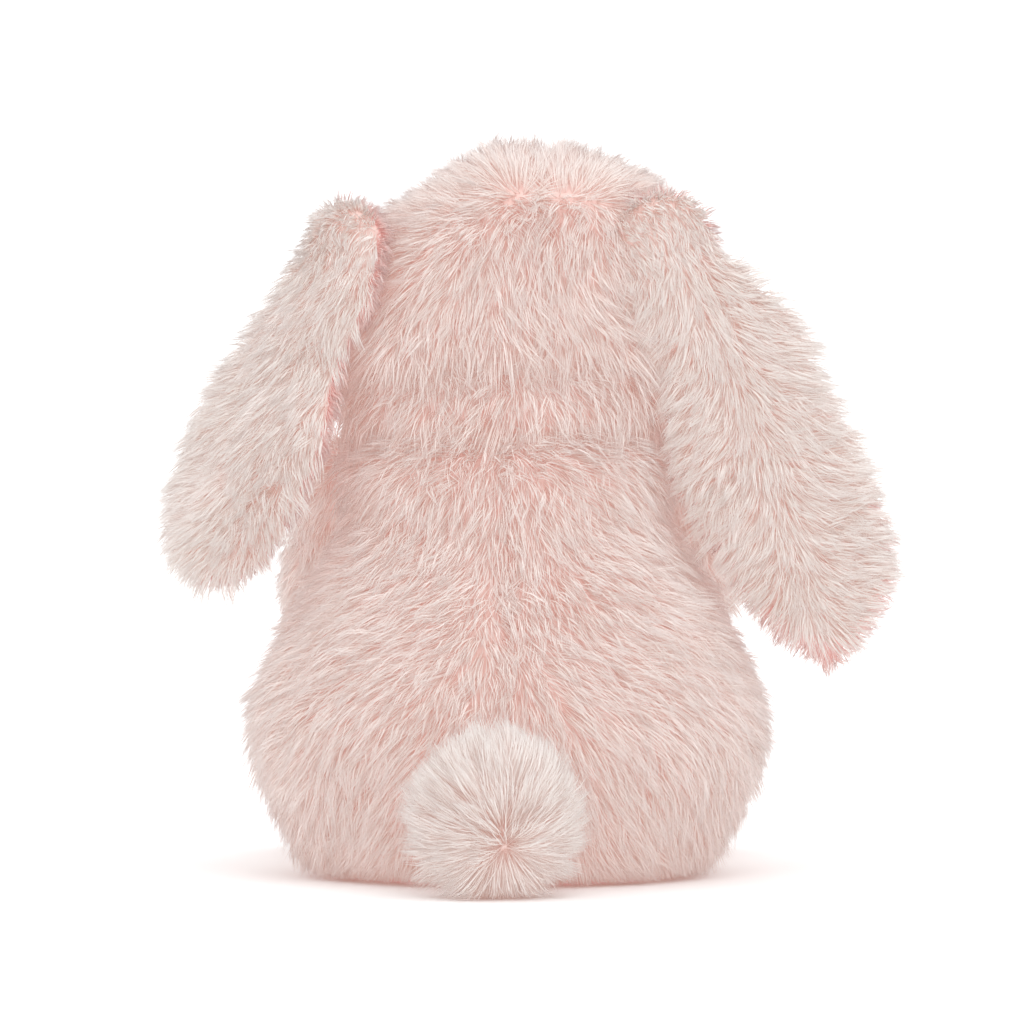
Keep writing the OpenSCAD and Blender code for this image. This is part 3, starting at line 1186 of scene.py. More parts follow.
    def _pellets(self, middle: float, half: float, reach: float) -> None:
        """Heaps the pellets in layers inside the pouch."""
        radius = 2.1 * MM
        rng = np.random.default_rng(7)
        deselect_all()
        bpy.ops.mesh.primitive_ico_sphere_add(subdivisions=1, radius=radius)
        bead = bpy.context.object
        points = points_of(bead)
        pattern = np.empty(len(bead.data.loops), np.int32)
        bead.data.loops.foreach_get("vertex_index", pattern)
        discard(bead)
        centres = []
        pitch = radius * 2.12
        for layer, z in enumerate(np.arange(middle - half, middle + half, pitch * 0.84)):
            wide = reach * math.sqrt(max(0.05, 1 - ((z - middle) / (half * 1.5)) ** 2))
            odd = layer % 2
            for i in range(-15, 16):
                for j in range(-15, 16):
                    x, y = (i + 0.5 * (j % 2) + 0.5 * odd) * pitch, (j + 0.33 * odd) * pitch * 0.87
                    if math.hypot(x, y) < wide:
                        centres.append((x, y, z))
        spots = np.array(centres) + rng.normal(size=(len(centres), 3)) * 0.05 * MM
        mesh = repeated("pellets", spots[:, None] + points[None], pattern.reshape(-1, 3))
        heap = stand("pellet_heap", mesh)
        enter(dress(heap, self.wardrobe.pellets), "torso", "pellets", "pellet_fill")

    def _closing_thread(self) -> None:
        """Lays the ladder of stitches over the seam in the middle of the back."""
        low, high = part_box("closing_stitches")
        count, half, slant = 8, 3 * MM, 0.5 * MM
        stitches = []
        for k in range(count):
            z = low.z + (high.z - low.z) * (k + 0.5) / count
            r = self.cloth_radius(z)
            points = []
            for t in np.linspace(-1, 1, 9):
                x = t * half
                dip = 1.3 * MM * bell(x, 0, 2.2 * MM) + 1.0 * MM * abs(t) ** 6
                points.append(Vector((x, math.sqrt(r * r - x * x) - dip, z + slant * t)))
            stitches.append(tube(f"stitch_{k}", points, 0.35 * MM))
        piece = join(stitches, "closing_thread")
        enter(dress(piece, self.wardrobe.thread), "torso", "thread", "closing_stitches")


# ---------------------------------------------------------------- neck


@dataclass
class Neck:
    """The short sleeve between torso and head, with its filling and its ring of stitches."""

    wardrobe: Wardrobe
    pile: Pile = Pile(length=13 * MM, radius=0.15 * MM, density=0.9, lean=0.7, fall=1.3, uneven=0.3,
                      most=3500)

    def build(self) -> None:
        """Builds every piece of the neck."""
        low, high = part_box("neck_sleeve")
        radius, foot, top = high.x, low.z, high.z
        form = loft("neck_form", [
            Station(foot - 2.5 * MM, radius + 7 * MM, radius - 2 * MM),
            Station(foot - 0.8 * MM, radius + 10.5 * MM, radius + 0.5 * MM),
            Station(foot + 3.5 * MM, radius + 11.5 * MM, radius + 1.5 * MM),
            Station(top - 2 * MM, radius + 13 * MM, radius + 1 * MM),
            Station(top + 4 * MM, radius + 13 * MM, radius - 3 * MM),
            Station(top + 9 * MM, radius + 10 * MM, radius - 11 * MM),
        ], 48)
        Puff(voxel=2.6 * MM, cap=0.8 * MM).fill(form)
        filling = lining_of(form, "neck_filling", 1.6 * MM, 0.4 * MM, 41)
        enter(dress(filling, self.wardrobe.stuffing), "neck", "stuffing", "neck_stuffing", fill=0.8)
        keep_side(form, UP * (foot - 1.2 * MM), UP)
        keep_side(form, UP * (top + 8 * MM), -UP)

        def trim(points: np.ndarray) -> np.ndarray:
            """Longer and shorter in patches, so that the ends make no line over the shoulders."""
            return 0.85 + 0.25 * np.clip(waves(points, 14 * MM, 43), -1, 1)

        piece = plush(form, "neck_sleeve_plush", self.pile, straight_down, self.wardrobe.pile, 140, trim)
        enter(piece, "neck", "long_plush", "neck_sleeve", fill=0.8)
        self._stitches(radius, foot)

    def _stitches(self, radius: float, foot: float) -> None:
        """Winds the overcast stitches round the sleeve's foot."""
        turns, count = 46, 46 * 8
        points = []
        for k in range(count + 1):
            a, b = TAU * k / count, TAU * turns * k / count
            r, z = radius - 0.9 * MM + 0.75 * MM * math.cos(b), foot + 0.6 * MM + 0.7 * MM * math.sin(b)
            points.append(Vector((r * math.cos(a), r * math.sin(a), z)))
        ring = tube("neck_thread", points, 0.28 * MM)
        enter(dress(ring, self.wardrobe.thread), "neck", "thread", "neck_stitches")


# ---------------------------------------------------------------- head


@dataclass
class Head:
    """The head: two side panels and a gusset in long pile, a short-pile muzzle, stitched face and eyes."""

    wardrobe: Wardrobe
    under: float = 2.6 * MM
    cloth: float = 1.2 * MM
    eye_azimuth: float = math.radians(-58)
    eye_rise: float = math.radians(6)
    eye_r: float = 4.6 * MM
    tilt: float = math.radians(2)
    pile: Pile = Pile(length=9.5 * MM, radius=0.15 * MM, density=0.95, most=6500)
    short: Pile = Pile(length=3.0 * MM, radius=0.15 * MM, density=5.0, lean=0.7, fall=0.9, tuft=1.4 * MM,
                       cling=0.3, swirl=0.2, rings=1, most=9000)

    def __post_init__(self) -> None:
        """Reads the head's and the muzzle's places from the frame."""
        self.centre = joint_place("head_nod")
        low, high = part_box("head_gusset")
        self.radius = (high.z - low.z) / 2
        self.half = high.x
        low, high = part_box("muzzle_panel")
        self.muzzle_r = (high.z - low.z) / 2
        self.muzzle = Vector((0, low.y + self.muzzle_r, (low.z + high.z) / 2))

    def build(self) -> None:
        """Builds every piece of the head."""
        form = self._form()
        filling = lining_of(form, "head_filling", self.cloth + 0.2 * MM, 0.6 * MM, 51)
        for x in (-self.half, self.half):
            pinch_seam(form, ACROSS * x, ACROSS, 0.9 * MM, 2.2 * MM)
        cuts = {
            "head_panel_left": [(self.half, 1)],
            "head_panel_right": [(-self.half, -1)],
            "head_gusset": [(-self.half, 1), (self.half, -1)],
        }
        for number, (node, planes) in enumerate(cuts.items()):
            panel = copy_of(form, node + "_cloth")
            for x, way in planes:
                keep_side(panel, ACROSS * x, ACROSS * way)
            piece = plush(panel, node + "_plush", self.pile, self._comb, self.wardrobe.pile, 200 + number,
                          self._trim)
            enter(piece, "head", "long_plush", node, fill=0.85)
        discard(form)
        enter(dress(filling, self.wardrobe.stuffing), "head", "stuffing", "head_stuffing", fill=0.9)
        self._muzzle()
        self._nose()
        self._mouth()
        for side in Side:
            self._eye(side)

    def _form(self) -> bpy.types.Object:
        """Draws the head, wider than it is tall, and lets the stuffing press it out."""
        r = self.radius - self.under - 0.8 * MM
        angles = [math.radians(a) for a in (-84, -72, -60, -48, -36, -24, -12)]
        stations = [disc(-self.half + r * math.sin(a), r * math.cos(a)) for a in angles]
        stations += [disc(z, r) for z in (-self.half, 0, self.half)]
        stations += [disc(-s.z, s.rx) for s in reversed(stations[:len(angles)])]
        form = loft("head_form", stations, 40)
        place(form, Matrix.Rotation(math.pi / 2 + self.tilt, 4, "Y"))
        points = points_of(form)
        cheeks = bell(points[:, 2], -21 * MM, 13 * MM)
        points[:, 0] *= 1 + 0.36 * cheeks
        points[:, 0] -= 10 * MM * bell(points[:, 2], 22 * MM, 8 * MM)
        crown = np.clip((points[:, 2] - 8 * MM) / (18 * MM), 0, 1)
        points[:, 0] *= 1 - 0.16 * crown * (points[:, 0] > 0)
        points[:, 2] -= 3.0 * MM * crown * np.clip((-points[:, 0] - 8 * MM) / (16 * MM), 0, 1)
        points[:, 2] += 0.8 * MM * crown
        nape = bell(points[:, 2], -19 * MM, 9 * MM)
        points[:, 1] += 6 * MM * nape * np.clip(points[:, 1] / (10 * MM), 0, 1)
        points[:, 2] *= 1 + 0.03 * (points[:, 2] > 0)
        set_points(form, points)
        place(form, Matrix.Translation(self.centre))
        return Puff(voxel=3.0 * MM, cap=1.2 * MM).fill(form)

    def _comb(self, points: np.ndarray, normals: np.ndarray) -> np.ndarray:
        """Away from a short crest high on the back of the head; away from the muzzle on the face."""
        crest = np.array(self.centre) + np.array([0, 0.66, 0.70]) * self.radius
        off = points - crest
        off[:, 0] -= np.clip(off[:, 0], -20 * MM, -1 * MM)
        behind = unit(off) + np.array([0, 0, -0.55])
        face = unit(points - np.array(self.muzzle)) + np.array([0, 0.3, 0])
        front = np.clip(0.5 - (points[:, 1] - self.centre.y) / (22 * MM), 0, 1)[:, None]
        return behind * (1 - front) + face * front

    def _trim(self, points: np.ndarray) -> np.ndarray:
        """Short pile round the eyes and at the muzzle, and longer pile over the nape."""
        share = np.ones(len(points))
        for side in Side:
            far = far_from(points, self._eye_spot(side))
            share = np.minimum(share, np.clip((far - 3.4 * MM) / (12 * MM), 0.0, 1))
        far = far_from(points, self.muzzle)
        share = np.minimum(share, np.clip(0.3 + (far - self.muzzle_r) / (12 * MM), 0, 1))
        nape = bell(points[:, 2], self.centre.z - 20 * MM, 9 * MM)
        return share * (1 + 0.5 * nape * np.clip((points[:, 1] - self.centre.y) / (12 * MM), 0, 1))

    def _eye_way(self, side: Side) -> Vector:
        """The direction that an eye looks in."""
        level = math.cos(self.eye_rise)
        x, y = math.cos(self.eye_azimuth) * level, math.sin(self.eye_azimuth) * level
        return Vector((side.value * x, y, math.sin(self.eye_rise)))

    def _eye_spot(self, side: Side) -> Vector:
        """The point on the head's outside where an eye sits."""
        return self.centre + Vector((side.value * self.half, 0, 0)) + self._eye_way(side) * self.radius

    def _on_muzzle(self, x: float, z: float, out: float = 0.0) -> Vector:
        """A point on the muzzle's front at the given distances from its middle."""
        r = self.muzzle_r + out
        return self.muzzle + Vector((x, -math.sqrt(max(r * r - x * x - z * z, 0)), z))

    def _muzzle(self) -> None:
        """Builds the muzzle: a short-pile patch with a pinch down its middle, over its own filling."""
        deselect_all()
        bpy.ops.mesh.primitive_uv_sphere_add(
            segments=40, ring_count=24, radius=self.muzzle_r - 0.7 * MM, location=self.muzzle
        )
        form = bpy.context.object
        bpy.ops.object.transform_apply(location=True)
        Puff(voxel=1.6 * MM, cap=0.6 * MM).fill(form)
        pinch_seam(form, self.muzzle, ACROSS, 0.5 * MM, 1.8 * MM,
                   lambda p: np.clip((self.muzzle.z + 2 * MM - p[:, 2]) / (4 * MM), 0, 1))
        filling = lining_of(form, "muzzle_filling", 1.2 * MM, 0.4 * MM, 61)
        cut = Vector((0, self.muzzle.y + 1 * MM, 0))
        keep_side(filling, cut, FORWARD, close=True)
        enter(dress(filling, self.wardrobe.stuffing), "head", "stuffing", "muzzle_stuffing", fill=0.8)
        keep_side(form, cut, FORWARD)

        def comb(points: np.ndarray, normals: np.ndarray) -> np.ndarray:
            """Away from the nose."""
            return points - np.array(self._on_muzzle(0, 4 * MM))

        def trim(points: np.ndarray) -> np.ndarray:
            """None under the nose and along the mouth."""
            flat = points - np.array(self.muzzle)
            nose = np.hypot(flat[:, 0] / 1.15, (flat[:, 2] - 5.6 * MM) * 1.25)
            share = np.clip((nose - 3.6 * MM) / (3 * MM), 0, 1)
            for line in self._mouth_lines():
                for spot in line[::2]:
                    far = far_from(points, spot)
                    share = np.minimum(share, np.clip((far - 1.4 * MM) / (1.5 * MM), 0.15, 1))
            return share

        piece = plush(form, "muzzle_plush", self.short, comb, self.wardrobe.muzzle, 230, trim, 0.8 * MM,
                      down=False)
        enter(piece, "head", "short_plush", "muzzle_panel", fill=0.8)

    def _nose(self) -> None:
        """Lays the nose in satin stitch, thread beside thread, over a rounded triangle."""
        threads = []
        rows, count, half = 15, 7, 4.5 * MM
        for k in range(rows):
            x = (k / (rows - 1) * 2 - 1) * half
            t = abs(x) / half
            top = (8.1 - 0.9 * t**3) * MM
            bottom = (2.2 + 4.3 * t**1.3) * MM
            points = []
            for j in range(count):
                z = top + (bottom - top) * j / (count - 1)
                swell = math.sin(math.pi * j / (count - 1)) ** 0.5
                points.append(self._on_muzzle(x, z, -0.9 * MM + 0.95 * MM * swell))
            threads.append(tube(f"nose_{k}", points, 0.36 * MM))
        piece = join(threads, "nose_thread")
        enter(dress(piece, self.wardrobe.nose), "head", "thread", "nose_stitches")

    def _mouth_lines(self) -> list[list[Vector]]:
        """The courses of the mouth's three threads."""
        sunk = -0.2 * MM
        lines = [[self._on_muzzle(0, (2.4 - 6.2 * k / 8) * MM, sunk) for k in range(9)]]
        for side in Side:
            line = []
            for k in range(11):
                a = k / 10
                x = side.value * (0.2 + 6.2 * a) * MM
                z = (-3.8 - 2.0 * math.sin(math.pi * min(1, a * 0.75)) + 1.2 * a * a) * MM
                line.append(self._on_muzzle(x, z, sunk))
            lines.append(line)
        return lines

    def _mouth(self) -> None:
        """Lays the mouth's threads."""
        threads = [tube(f"mouth_{k}", line, 0.42 * MM) for k, line in enumerate(self._mouth_lines())]
        piece = join(threads, "mouth_thread")
        enter(dress(piece, self.wardrobe.nose), "head", "thread", "mouth_stitches")

    def _eye(self, side: Side) -> None:
        """Turns a safety eye with its shank, and the washer that locks it from inside."""
        way = self._eye_way(side)
        spot = self._eye_spot(side)
        where = Matrix.Translation(spot) @ way.to_track_quat("Z", "Y").to_matrix().to_4x4()
        r = self.eye_r
        dome = [(r * math.cos(a), 0.72 * r * math.sin(a) - 0.6 * MM)
                for a in np.linspace(math.radians(-8), math.radians(90), 14)]
        shank, end = 1.5 * MM, -9 * MM
        outline = [(0.0, end), (1.3 * MM, end)]
        outline += [(shank, -8.6 * MM + k * 1.1 * MM) for k in range(5)]
        outline += [(shank, -2.6 * MM), (3.4 * MM, -2.4 * MM), (r * 0.97, -1.9 * MM)] + dome
        eye = turned(f"eye_{side.word}_dome", outline, 48)
        place(eye, where)
        enter(dress(eye, self.wardrobe.eye), "head", "eye_plastic", f"eye_{side.word}")
        low, high = -5.1 * MM, -3.9 * MM
        ring = [(1.55 * MM, low), (2.4 * MM, low), (2.6 * MM, low + 0.35 * MM), (4.2 * MM, low + 0.35 * MM),
                (4.4 * MM, low), (4.9 * MM, low + 0.1 * MM), (5.0 * MM, (low + high) / 2),
                (4.9 * MM, high - 0.1 * MM), (4.4 * MM, high), (1.55 * MM, high), (1.55 * MM, low)]
        washer = turned(f"eye_washer_{side.word}_ring", ring, 40)
        place(washer, where)
        enter(dress(washer, self.wardrobe.washer), "head", "washer_plastic", f"eye_washer_{side.word}")


def turned(name: str, outline: list[tuple[float, float]], steps: int) -> bpy.types.Object:
    """Turns an outline about the upright into a closed solid.

    Args:
        name: the object's name.
        outline: points as (distance from the axis, height), from one end to the other.
        steps: how many sides the solid has.

    Returns:
        The solid, shaded smooth but for its sharp edges.
    """
    deselect_all()
    mesh = bpy.data.meshes.new(name)
    mesh.from_pydata([(r, 0, z) for r, z in outline], [(k, k + 1) for k in range(len(outline) - 1)], [])
    obj = stand(name, mesh)
    with editing(obj):
        bpy.ops.mesh.spin(steps=steps, angle=TAU, center=(0, 0, 0), axis=(0, 0, 1))
        bpy.ops.mesh.select_all(action="SELECT")
        bpy.ops.mesh.remove_doubles(threshold=0.01 * MM)
        bpy.ops.mesh.normals_make_consistent(inside=False)
    bpy.ops.object.shade_smooth_by_angle(angle=math.radians(40))
    return obj


# ---------------------------------------------------------------- ears


@dataclass
class Ear:
    """A hanging ear: a long-pile back sewn to a short-pile lining, with no filling."""

    wardrobe: Wardrobe
    side: Side
    width: float = 41 * MM
    root_r: float = 6 * MM
    splay: float = math.radians(20)
    under: float = 1.2 * MM
    thick: float = 3.1 * MM
    pile: Pile = Pile(length=9.5 * MM, radius=0.15 * MM, density=1.5, lean=0.6, fall=1.05, most=6500)
    short: Pile = Pile(length=5.5 * MM, radius=0.16 * MM, density=1.1, lean=0.5, fall=1.1, tuft=2.0 * MM,
                       most=3500)

    def __post_init__(self) -> None:
        """Sets what differs between the two ears: length, turn, and how far the end leans out and curls."""
        left = self.side is Side.LEFT
        self.length = (89 if left else 110) * MM
        self.turn = math.radians(48 if left else 8)
        self.curl = (0 if left else 3) * MM
        self.out = (2 if left else 5) * MM
        self.bulge = (-2 if left else 5) * MM
        self.corner = (3 if left else -5) * MM
        self.rise_up = (3 if left else 6) * MM
        root = joint_place(f"ear_lift_{self.side.word}")
        splay = Matrix.Rotation(-self.side.value * self.splay, 4, "Y")
        turn = Matrix.Rotation(-self.side.value * self.turn, 4, "Z")
        self.where = Matrix.Translation(root) @ splay @ turn

    def half_width(self, t: float) -> float:
        """Returns the ear's half width at a fraction of its length, as the frame has it."""
        wide = self.width / 2 * math.sin(math.pi * min(1, t**1.7)) ** 0.65 if 0 < t < 1 else 0.0
        return math.sqrt(self.root_r**2 * (1 - t) + wide**2)

    def build(self) -> None:
        """Builds the ear's two layers."""
        form = self._form()
        word = self.side.word
        face = (self.where.to_3x3() @ Vector((0, 1, 0))).normalized()
        root = self.where.translation
        back = copy_of(form, f"ear_back_{word}_cloth")
        keep_side(back, root, face)
        piece = plush(back, f"ear_back_{word}_plush", self.pile, self._comb, self.wardrobe.ear,
                      300 + self.side.value, self._trim, 0.9 * MM)
        enter(piece, f"ear_{word}", "long_plush", f"ear_back_{word}", fill=0.15)
        keep_side(form, root, -face)
        piece = plush(form, f"ear_lining_{word}_plush", self.short, self._comb, self.wardrobe.short,
                      310 + self.side.value, None, 0.9 * MM)
        enter(piece, f"ear_{word}", "short_plush", f"ear_lining_{word}", fill=0.15)

    def _form(self) -> bpy.types.Object:
        """Draws the flat, rounded ear with its end curled forwards."""
        top = self.root_r + self.rise_up
        stations = [
            Station(top, 5.0 * MM, 2.5 * MM), Station(top * 0.8, 9.0 * MM, 4.0 * MM),
            Station(top * 0.4, 11.3 * MM, 5.0 * MM),
        ]
        steps = 14
        for k in range(steps + 1):
            t = math.sin(math.pi / 2 * k / steps)
            full = (8.0 * bell(t, 0.08, 0.2) + 3.0 * bell(t, 0.93, 0.12)) * MM
            wide = max(self.half_width(t) - self.under + full, 3.0 * MM)
            flat = self.thick * (0.8 + 0.2 * math.sin(math.pi * min(1, t))) * (1 if t < 0.97 else 0.75)
            stations.append(Station(-self.length * t * 0.985, wide, flat + 1.5 * MM * bell(t, 0, 0.15)))
        form = loft("ear_form", stations, 36)
        Puff(voxel=2.2 * MM, cap=0.7 * MM).fill(form)
        points = points_of(form)
        part = np.clip(-points[:, 2] / self.length, 0, 1)
        points[:, 1] -= self.curl * part**3
        way = self.side.value
        points[:, 0] += way * self.out * part**0.8
        outer = np.clip(0.5 + way * points[:, 0] / (10 * MM), 0, 1)
        points[:, 0] -= way * 6 * MM * bell(part, 0.08, 0.16)
        points[:, 0] -= way * 4.5 * MM * bell(part, 0.45, 0.2) * (1 - outer)
        points[:, 0] += way * self.bulge * bell(part, 0.25, 0.14) * outer
        points[:, 0] += way * self.corner * bell(part, 0.98, 0.08) * outer
        set_points(form, points)
        return place(form, self.where)

    def _local(self, points: np.ndarray) -> np.ndarray:
        """Returns points in the ear's own frame: across, through and along."""
        back = np.array(self.where.inverted())
        return points @ back[:3, :3].T + back[:3, 3]

    def _trim(self, points: np.ndarray) -> np.ndarray:
        """Shorter pile over the root."""
        part = -self._local(points)[:, 2] / self.length
        return 0.55 + 0.45 * np.clip((part + 0.03) / 0.12, 0, 1)

    def _comb(self, points: np.ndarray, normals: np.ndarray) -> np.ndarray:
        """Down the ear and away from a parting along its middle."""
        local = self._local(points)
        spread, down = (0.45, 0.9) if self.side is Side.LEFT else (0.85, 0.6)
        across = np.clip(local[:, 0] / (9 * MM), -1, 1) * spread
        part = np.clip(-local[:, 2] / self.length, 0, 1)
        level, below = np.zeros(len(points)), -np.full(len(points), down)
        way = np.stack([across * np.clip(part * 3, 0.2, 1), level, below], 1)
        over = np.clip(1 - part / 0.12, 0, 1)[:, None] * np.array([0, 1.2, 0])
        return way @ np.array(self.where)[:3, :3].T + over


# ---------------------------------------------------------------- limbs


@dataclass
class Limb:
    """A stuffed limb in two halves, from a ball at its root to a larger ball at its end."""

    wardrobe: Wardrobe
    side: Side
    root: Vector
    end: Vector
    outside: Vector
    root_r: float
    end_r: float
    cut: float
    under: float
    pile: Pile
    kind: str
    seed: int

    def __post_init__(self) -> None:
        """Works out the limb's own frame: X to the outside of the toy, Z along the limb."""
        along = (self.end - self.root).normalized()
        across = (self.outside - along * self.outside.dot(along)).normalized()
        turn = Matrix((across, along.cross(across), along)).transposed().to_4x4()
        self.where = Matrix.Translation(self.root) @ turn
        self.length = (self.end - self.root).length
        self.along, self.across = along, across

    def form(self, bow: float) -> bpy.types.Object:
        """Draws the limb, lets the stuffing press it out and pinches its two seams.

        Args:
            bow: how far its middle is bent to the outside.

        Returns:
            The filled-out form in its place.
        """
        r1, r2 = self.root_r - self.under, self.end_r - self.under
        lean = math.asin((r2 - r1) / self.length)
        last = math.asin(min(0.985, self.cut / r2))
        stations = []
        for k in range(7):
            a = math.radians(-80) + (math.radians(80) - lean) * k / 6
            stations.append((r1 * math.sin(a), r1 * math.cos(a)))
        for k in range(8):
            a = -lean + (last + lean) * k / 7
            stations.append((self.length + r2 * math.sin(a), r2 * math.cos(a)))
        rings = [
            Station(z, r, r, bow * math.sin(math.pi * min(1, max(0, z / self.length)))) for z, r in stations
        ]
        form = loft(f"{self.kind}_form", rings, 28)
        place(form, self.where)
        Puff(voxel=2.5 * MM, cap=0.8 * MM).fill(form)
        pinch_seam(form, self.root, self.across, 0.7 * MM, 1.8 * MM)
        return form

    def cover(self, form: bpy.types.Object, trim: Trim | None) -> None:
        """Cuts the cover into its two halves, gives them their pile and adds the filling.

        Args:
            form: the limb's form, which is used up.
            trim: a share of the full length at each point, or None.
        """
        word = self.side.word
        body = f"{self.kind}_{word}"
        filling = lining_of(form, f"{body}_filling", 1.3 * MM, 0.5 * MM, self.seed)
        enter(dress(filling, self.wardrobe.stuffing), body, "stuffing", f"{self.kind}_stuffing_{word}",
              fill=0.8)
        for number, (half, way) in enumerate((("outer", 1), ("inner", -1))):
            node = f"{self.kind}_{half}_{word}"
            panel = copy_of(form, node + "_cloth")
            keep_side(panel, self.root, self.across * way)
            if self.cut < self.end_r:
                keep_side(panel, self.root + self.along * (self.length + self.cut - 0.6 * MM), -self.along)
            piece = plush(panel, node + "_plush", self.pile, self._comb, self.wardrobe.pile,
                          self.seed + number, trim, 1.0 * MM)
            enter(piece, body, "long_plush", node, fill=0.8)
        discard(form)

    def _comb(self, points: np.ndarray, normals: np.ndarray) -> np.ndarray:
        """Along the limb towards its end."""
        return np.tile(np.array(self.along), (len(points), 1)) + np.array([0, 0, -0.25])


class Arm(Limb):
    """An arm that hangs at the side of the belly."""

    def __init__(self, wardrobe: Wardrobe, side: Side, torso: Torso) -> None:
        """Finds the shoulder and the paw beside the torso.

        Args:
            wardrobe: the finishes.
            side: which arm it is.
            torso: the torso that it hangs beside.
        """
        root = joint_place(f"arm_swing_{side.word}")
        paw_r, z, azimuth = 11.5 * MM, 68 * MM, math.radians(-46)
        reach = torso.radius(z) + paw_r + 3 * MM
        end = Vector((side.value * reach * math.cos(azimuth), reach * math.sin(azimuth), z))
        along = (end - root).normalized()
        level = Vector((side.value * abs(along.x), along.y, 0)).normalized()
        round_body = Vector((-level.y, level.x, 0)) * side.value
        seam = math.radians(30)
        outside = round_body * math.sin(seam) + level * math.cos(seam)
        super().__init__(
            wardrobe, side, root, end, outside, 9 * MM, paw_r, 1.0, 1.8 * MM,
            Pile(length=7.5 * MM, radius=0.17 * MM, density=0.95, most=1900), "arm", 400 + 10 * side.value,
        )

    def build(self) -> None:
        """Builds the arm's three pieces."""
        self.cover(self.form(1.2 * MM), None)


class Leg(Limb):
    """A leg that lies forward on the floor, with a flat sole."""

    def __init__(self, wardrobe: Wardrobe, side: Side) -> None:
        """Finds the hip and the foot.

        Args:
            wardrobe: the finishes.
            side: which leg it is.
        """
        root = joint_place(f"leg_spread_{side.word}")
        out, length, hip_r, foot_r = math.radians(8), 40 * MM, 13 * MM, 18.5 * MM
        rise = math.asin((foot_r - hip_r) / length)
        level = math.cos(rise)
        along = Vector((side.value * math.sin(out) * level, -math.cos(out) * level, math.sin(rise)))
        outside = Vector((side.value * math.cos(out), math.sin(out), 0))
        super().__init__(
            wardrobe, side, root, root + along * length, outside, hip_r, foot_r, 12 * MM, 2.2 * MM,
            Pile(length=8 * MM, radius=0.17 * MM, density=0.9, most=2400), "leg", 450 + 10 * side.value,
        )

    def build(self) -> None:
        """Builds the leg's four pieces."""
        self.cover(self.form(0.0), self._trim)
        self._sole()

    def _trim(self, points: np.ndarray) -> np.ndarray:
        """Shorter pile at the hip, under the foot and round the sole."""
        ahead = (points - np.array(self.root)) @ np.array(self.along)
        share = np.clip(0.35 + (self.length + self.cut - ahead) / (10 * MM), 0, 1)
        share = share * np.clip(0.4 + (ahead + 10 * MM) / (16 * MM), 0, 1)
        return share * np.clip(0.3 + points[:, 2] / (9 * MM), 0, 1)

    def _sole(self) -> None:
        """Builds the short-pile sole, a little domed."""
        word = self.side.word
        rim = math.sqrt(self.end_r**2 - self.cut**2) - 0.6 * MM
        dome = loft("sole_form", [
            disc(-0.8 * MM, rim - 1.2 * MM), disc(0.2 * MM, rim), disc(1.3 * MM, rim * 0.9),
            disc(2.0 * MM, rim * 0.6), disc(2.2 * MM, rim * 0.2),
        ], 40)
        turn = self.where.to_3x3().to_4x4()
        place(dome, Matrix.Translation(self.root + self.along * (self.length + self.cut - 1 * MM)) @ turn)
        apply_modifier(dome, "SUBSURF", levels=1, render_levels=1)
        smooth(dome)
        front = copy_of(dome, "sole_front")
        keep_side(front, self.root + self.along * (self.length + self.cut - 0.6 * MM), self.along)
        pile = Pile(length=2.6 * MM, radius=0.15 * MM, density=5, lean=0.7, tuft=1.4 * MM, cling=0.35,
                    rings=1, most=4000)
        strands = pile.grow(front, "sole_pile", straight_down, None, 480)
        discard(front)
        backing_uv(dome, 0.35)
        piece = join([dome, strands], f"leg_sole_{word}_plush")
        enter(dress(piece, self.wardrobe.short), f"leg_{word}", "short_plush", f"leg_sole_{word}", fill=0.5)


# ---------------------------------------------------------------- tail


@dataclass
class Tail:
    """The pom-pom and the knotted thread that holds it."""

    wardrobe: Wardrobe
    core: float = 12.0 * MM
    pile: Pile = Pile(length=13.5 * MM, radius=0.15 * MM, density=6, lean=0.55, fall=1.2, tuft=1.6 * MM,
                      cling=0.35, swirl=0.2, rings=3, most=6200, softness=0.5)

    def build(self) -> None:
        """Builds the pom-pom and its thread."""
        low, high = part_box("tail_pompom")
        middle = (low + high) / 2
        deselect_all()
        bpy.ops.mesh.primitive_ico_sphere_add(subdivisions=4, radius=self.core, location=middle)
        ball = smooth(bpy.context.object)
        bpy.ops.object.transform_apply(location=True)
        whorl = np.array([-0.20, 0.80, -0.55])

        def comb(points: np.ndarray, normals: np.ndarray) -> np.ndarray:
            """Away from a whorl low at the back."""
            return -np.tile(whorl, (len(points), 1)) + normals * 0.001

        piece = plush(ball, "tail_pompom_pile", self.pile, comb, self.wardrobe.pompom, 500, None, 0.8 * MM)
        enter(piece, "tail", "pompom_plush", "tail_pompom", fill=0.7)
        self._tie()

    def _tie(self) -> None:
        """Winds the thread and its knot."""
        low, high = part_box("tail_tie")
        x, z = (low.x + high.x) / 2, (low.z + high.z) / 2
        knot_r = (high.z - low.z) / 2
        centre = Vector((x, high.y - knot_r, z))
        count, turns, lay, loops = 60, 5, 0.5 * MM, 240
        twist = []
        for lead in (0.0, math.pi):
            points = []
            for k in range(count):
                a = lead + TAU * turns * k / count
                y = low.y + (centre.y - low.y) * k / (count - 1)
                points.append(Vector((x + lay * math.cos(a), y, z + lay * math.sin(a))))
            twist.append(tube("tie", points, 0.55 * MM))
        knot = []
        for k in range(loops + 1):
            a = TAU * k / loops
            level = math.cos(3 * a)
            out = Vector((math.cos(7 * a) * level, math.sin(7 * a) * level, math.sin(3 * a)))
            knot.append(centre + out * (knot_r - 0.6 * MM))
        twist.append(tube("knot", knot, 0.5 * MM))
        piece = join(twist, "tail_thread")
        enter(dress(piece, self.wardrobe.thread), "tail", "thread", "tail_tie")


# ---------------------------------------------------------------- studio


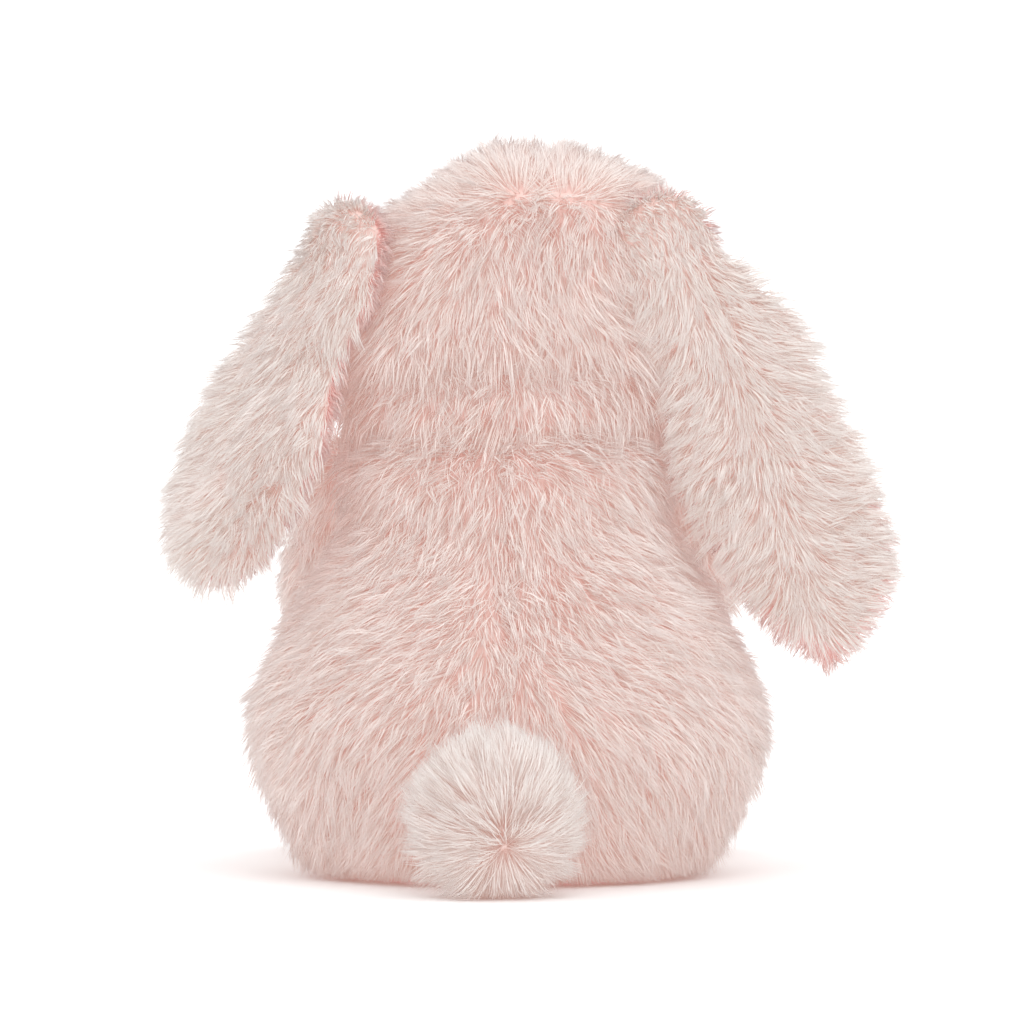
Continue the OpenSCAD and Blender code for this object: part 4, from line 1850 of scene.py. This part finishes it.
@dataclass
class Studio:
    """A plain pale floor, soft light all round and the camera behind the toy."""

    distance: float = 3.0
    wide: float = 0.2495
    rise: float = math.radians(2.5)
    target: tuple[float, float, float] = (-0.0010, 0.0, 0.0885)

    def build(self) -> None:
        """Builds the floor, the lights and the camera."""
        self._floor()
        self._lights()
        self._camera()

    def _floor(self) -> None:
        """Lays the floor."""
        deselect_all()
        bpy.ops.mesh.primitive_plane_add(size=60, location=(0, 0, 0))
        floor = bpy.context.object
        floor.name = "studio_floor"
        nodes = Surface("studio_floor")
        nodes.set(Base_Color=(0.97, 0.97, 0.97, 1), Roughness=0.9, Specular_IOR_Level=0.1)
        dress(floor, nodes.material)

    def _lights(self) -> None:
        """Sets a white sky and two wide, soft suns."""
        world = bpy.data.worlds.new("studio")
        bpy.context.scene.world = world
        world.use_nodes = True
        sky = world.node_tree.nodes["Background"]
        sky.inputs["Color"].default_value = (1, 1, 1, 1)
        sky.inputs["Strength"].default_value = 1.2
        for name, spot, power in (("key", (-0.4, 0.9, 1.2), 0.6), ("fill", (0.9, 0.2, 0.9), 0.15)):
            lamp = bpy.data.lights.new(name, "SUN")
            lamp.angle = math.radians(50)
            lamp.energy = power
            holder = stand(name, lamp)
            holder.location = spot
            holder.rotation_euler = (-Vector(spot)).to_track_quat("-Z", "Y").to_euler()

    def _camera(self) -> None:
        """Stands a long lens behind the toy, nearly level with it."""
        data = bpy.data.cameras.new("camera")
        data.sensor_width = 36
        data.lens = 36 * self.distance / self.wide
        holder = stand("camera", data)
        back = Vector((0, math.cos(self.rise), math.sin(self.rise)))
        holder.location = Vector(self.target) + back * self.distance
        holder.rotation_euler = (-back).to_track_quat("-Z", "Y").to_euler()
        bpy.context.scene.camera = holder


def main() -> None:
    """Builds the toy and its studio."""
    logging.basicConfig(level=logging.INFO, format="%(message)s")
    bpy.context.scene.view_settings.view_transform = "Standard"
    wardrobe = Wardrobe()
    torso = Torso(wardrobe)
    torso.build()
    Neck(wardrobe).build()
    Head(wardrobe).build()
    for side in Side:
        Ear(wardrobe, side).build()
        Arm(wardrobe, side, torso).build()
        Leg(wardrobe, side).build()
    Tail(wardrobe).build()
    Studio().build()


if __name__ == "__main__":
    main()
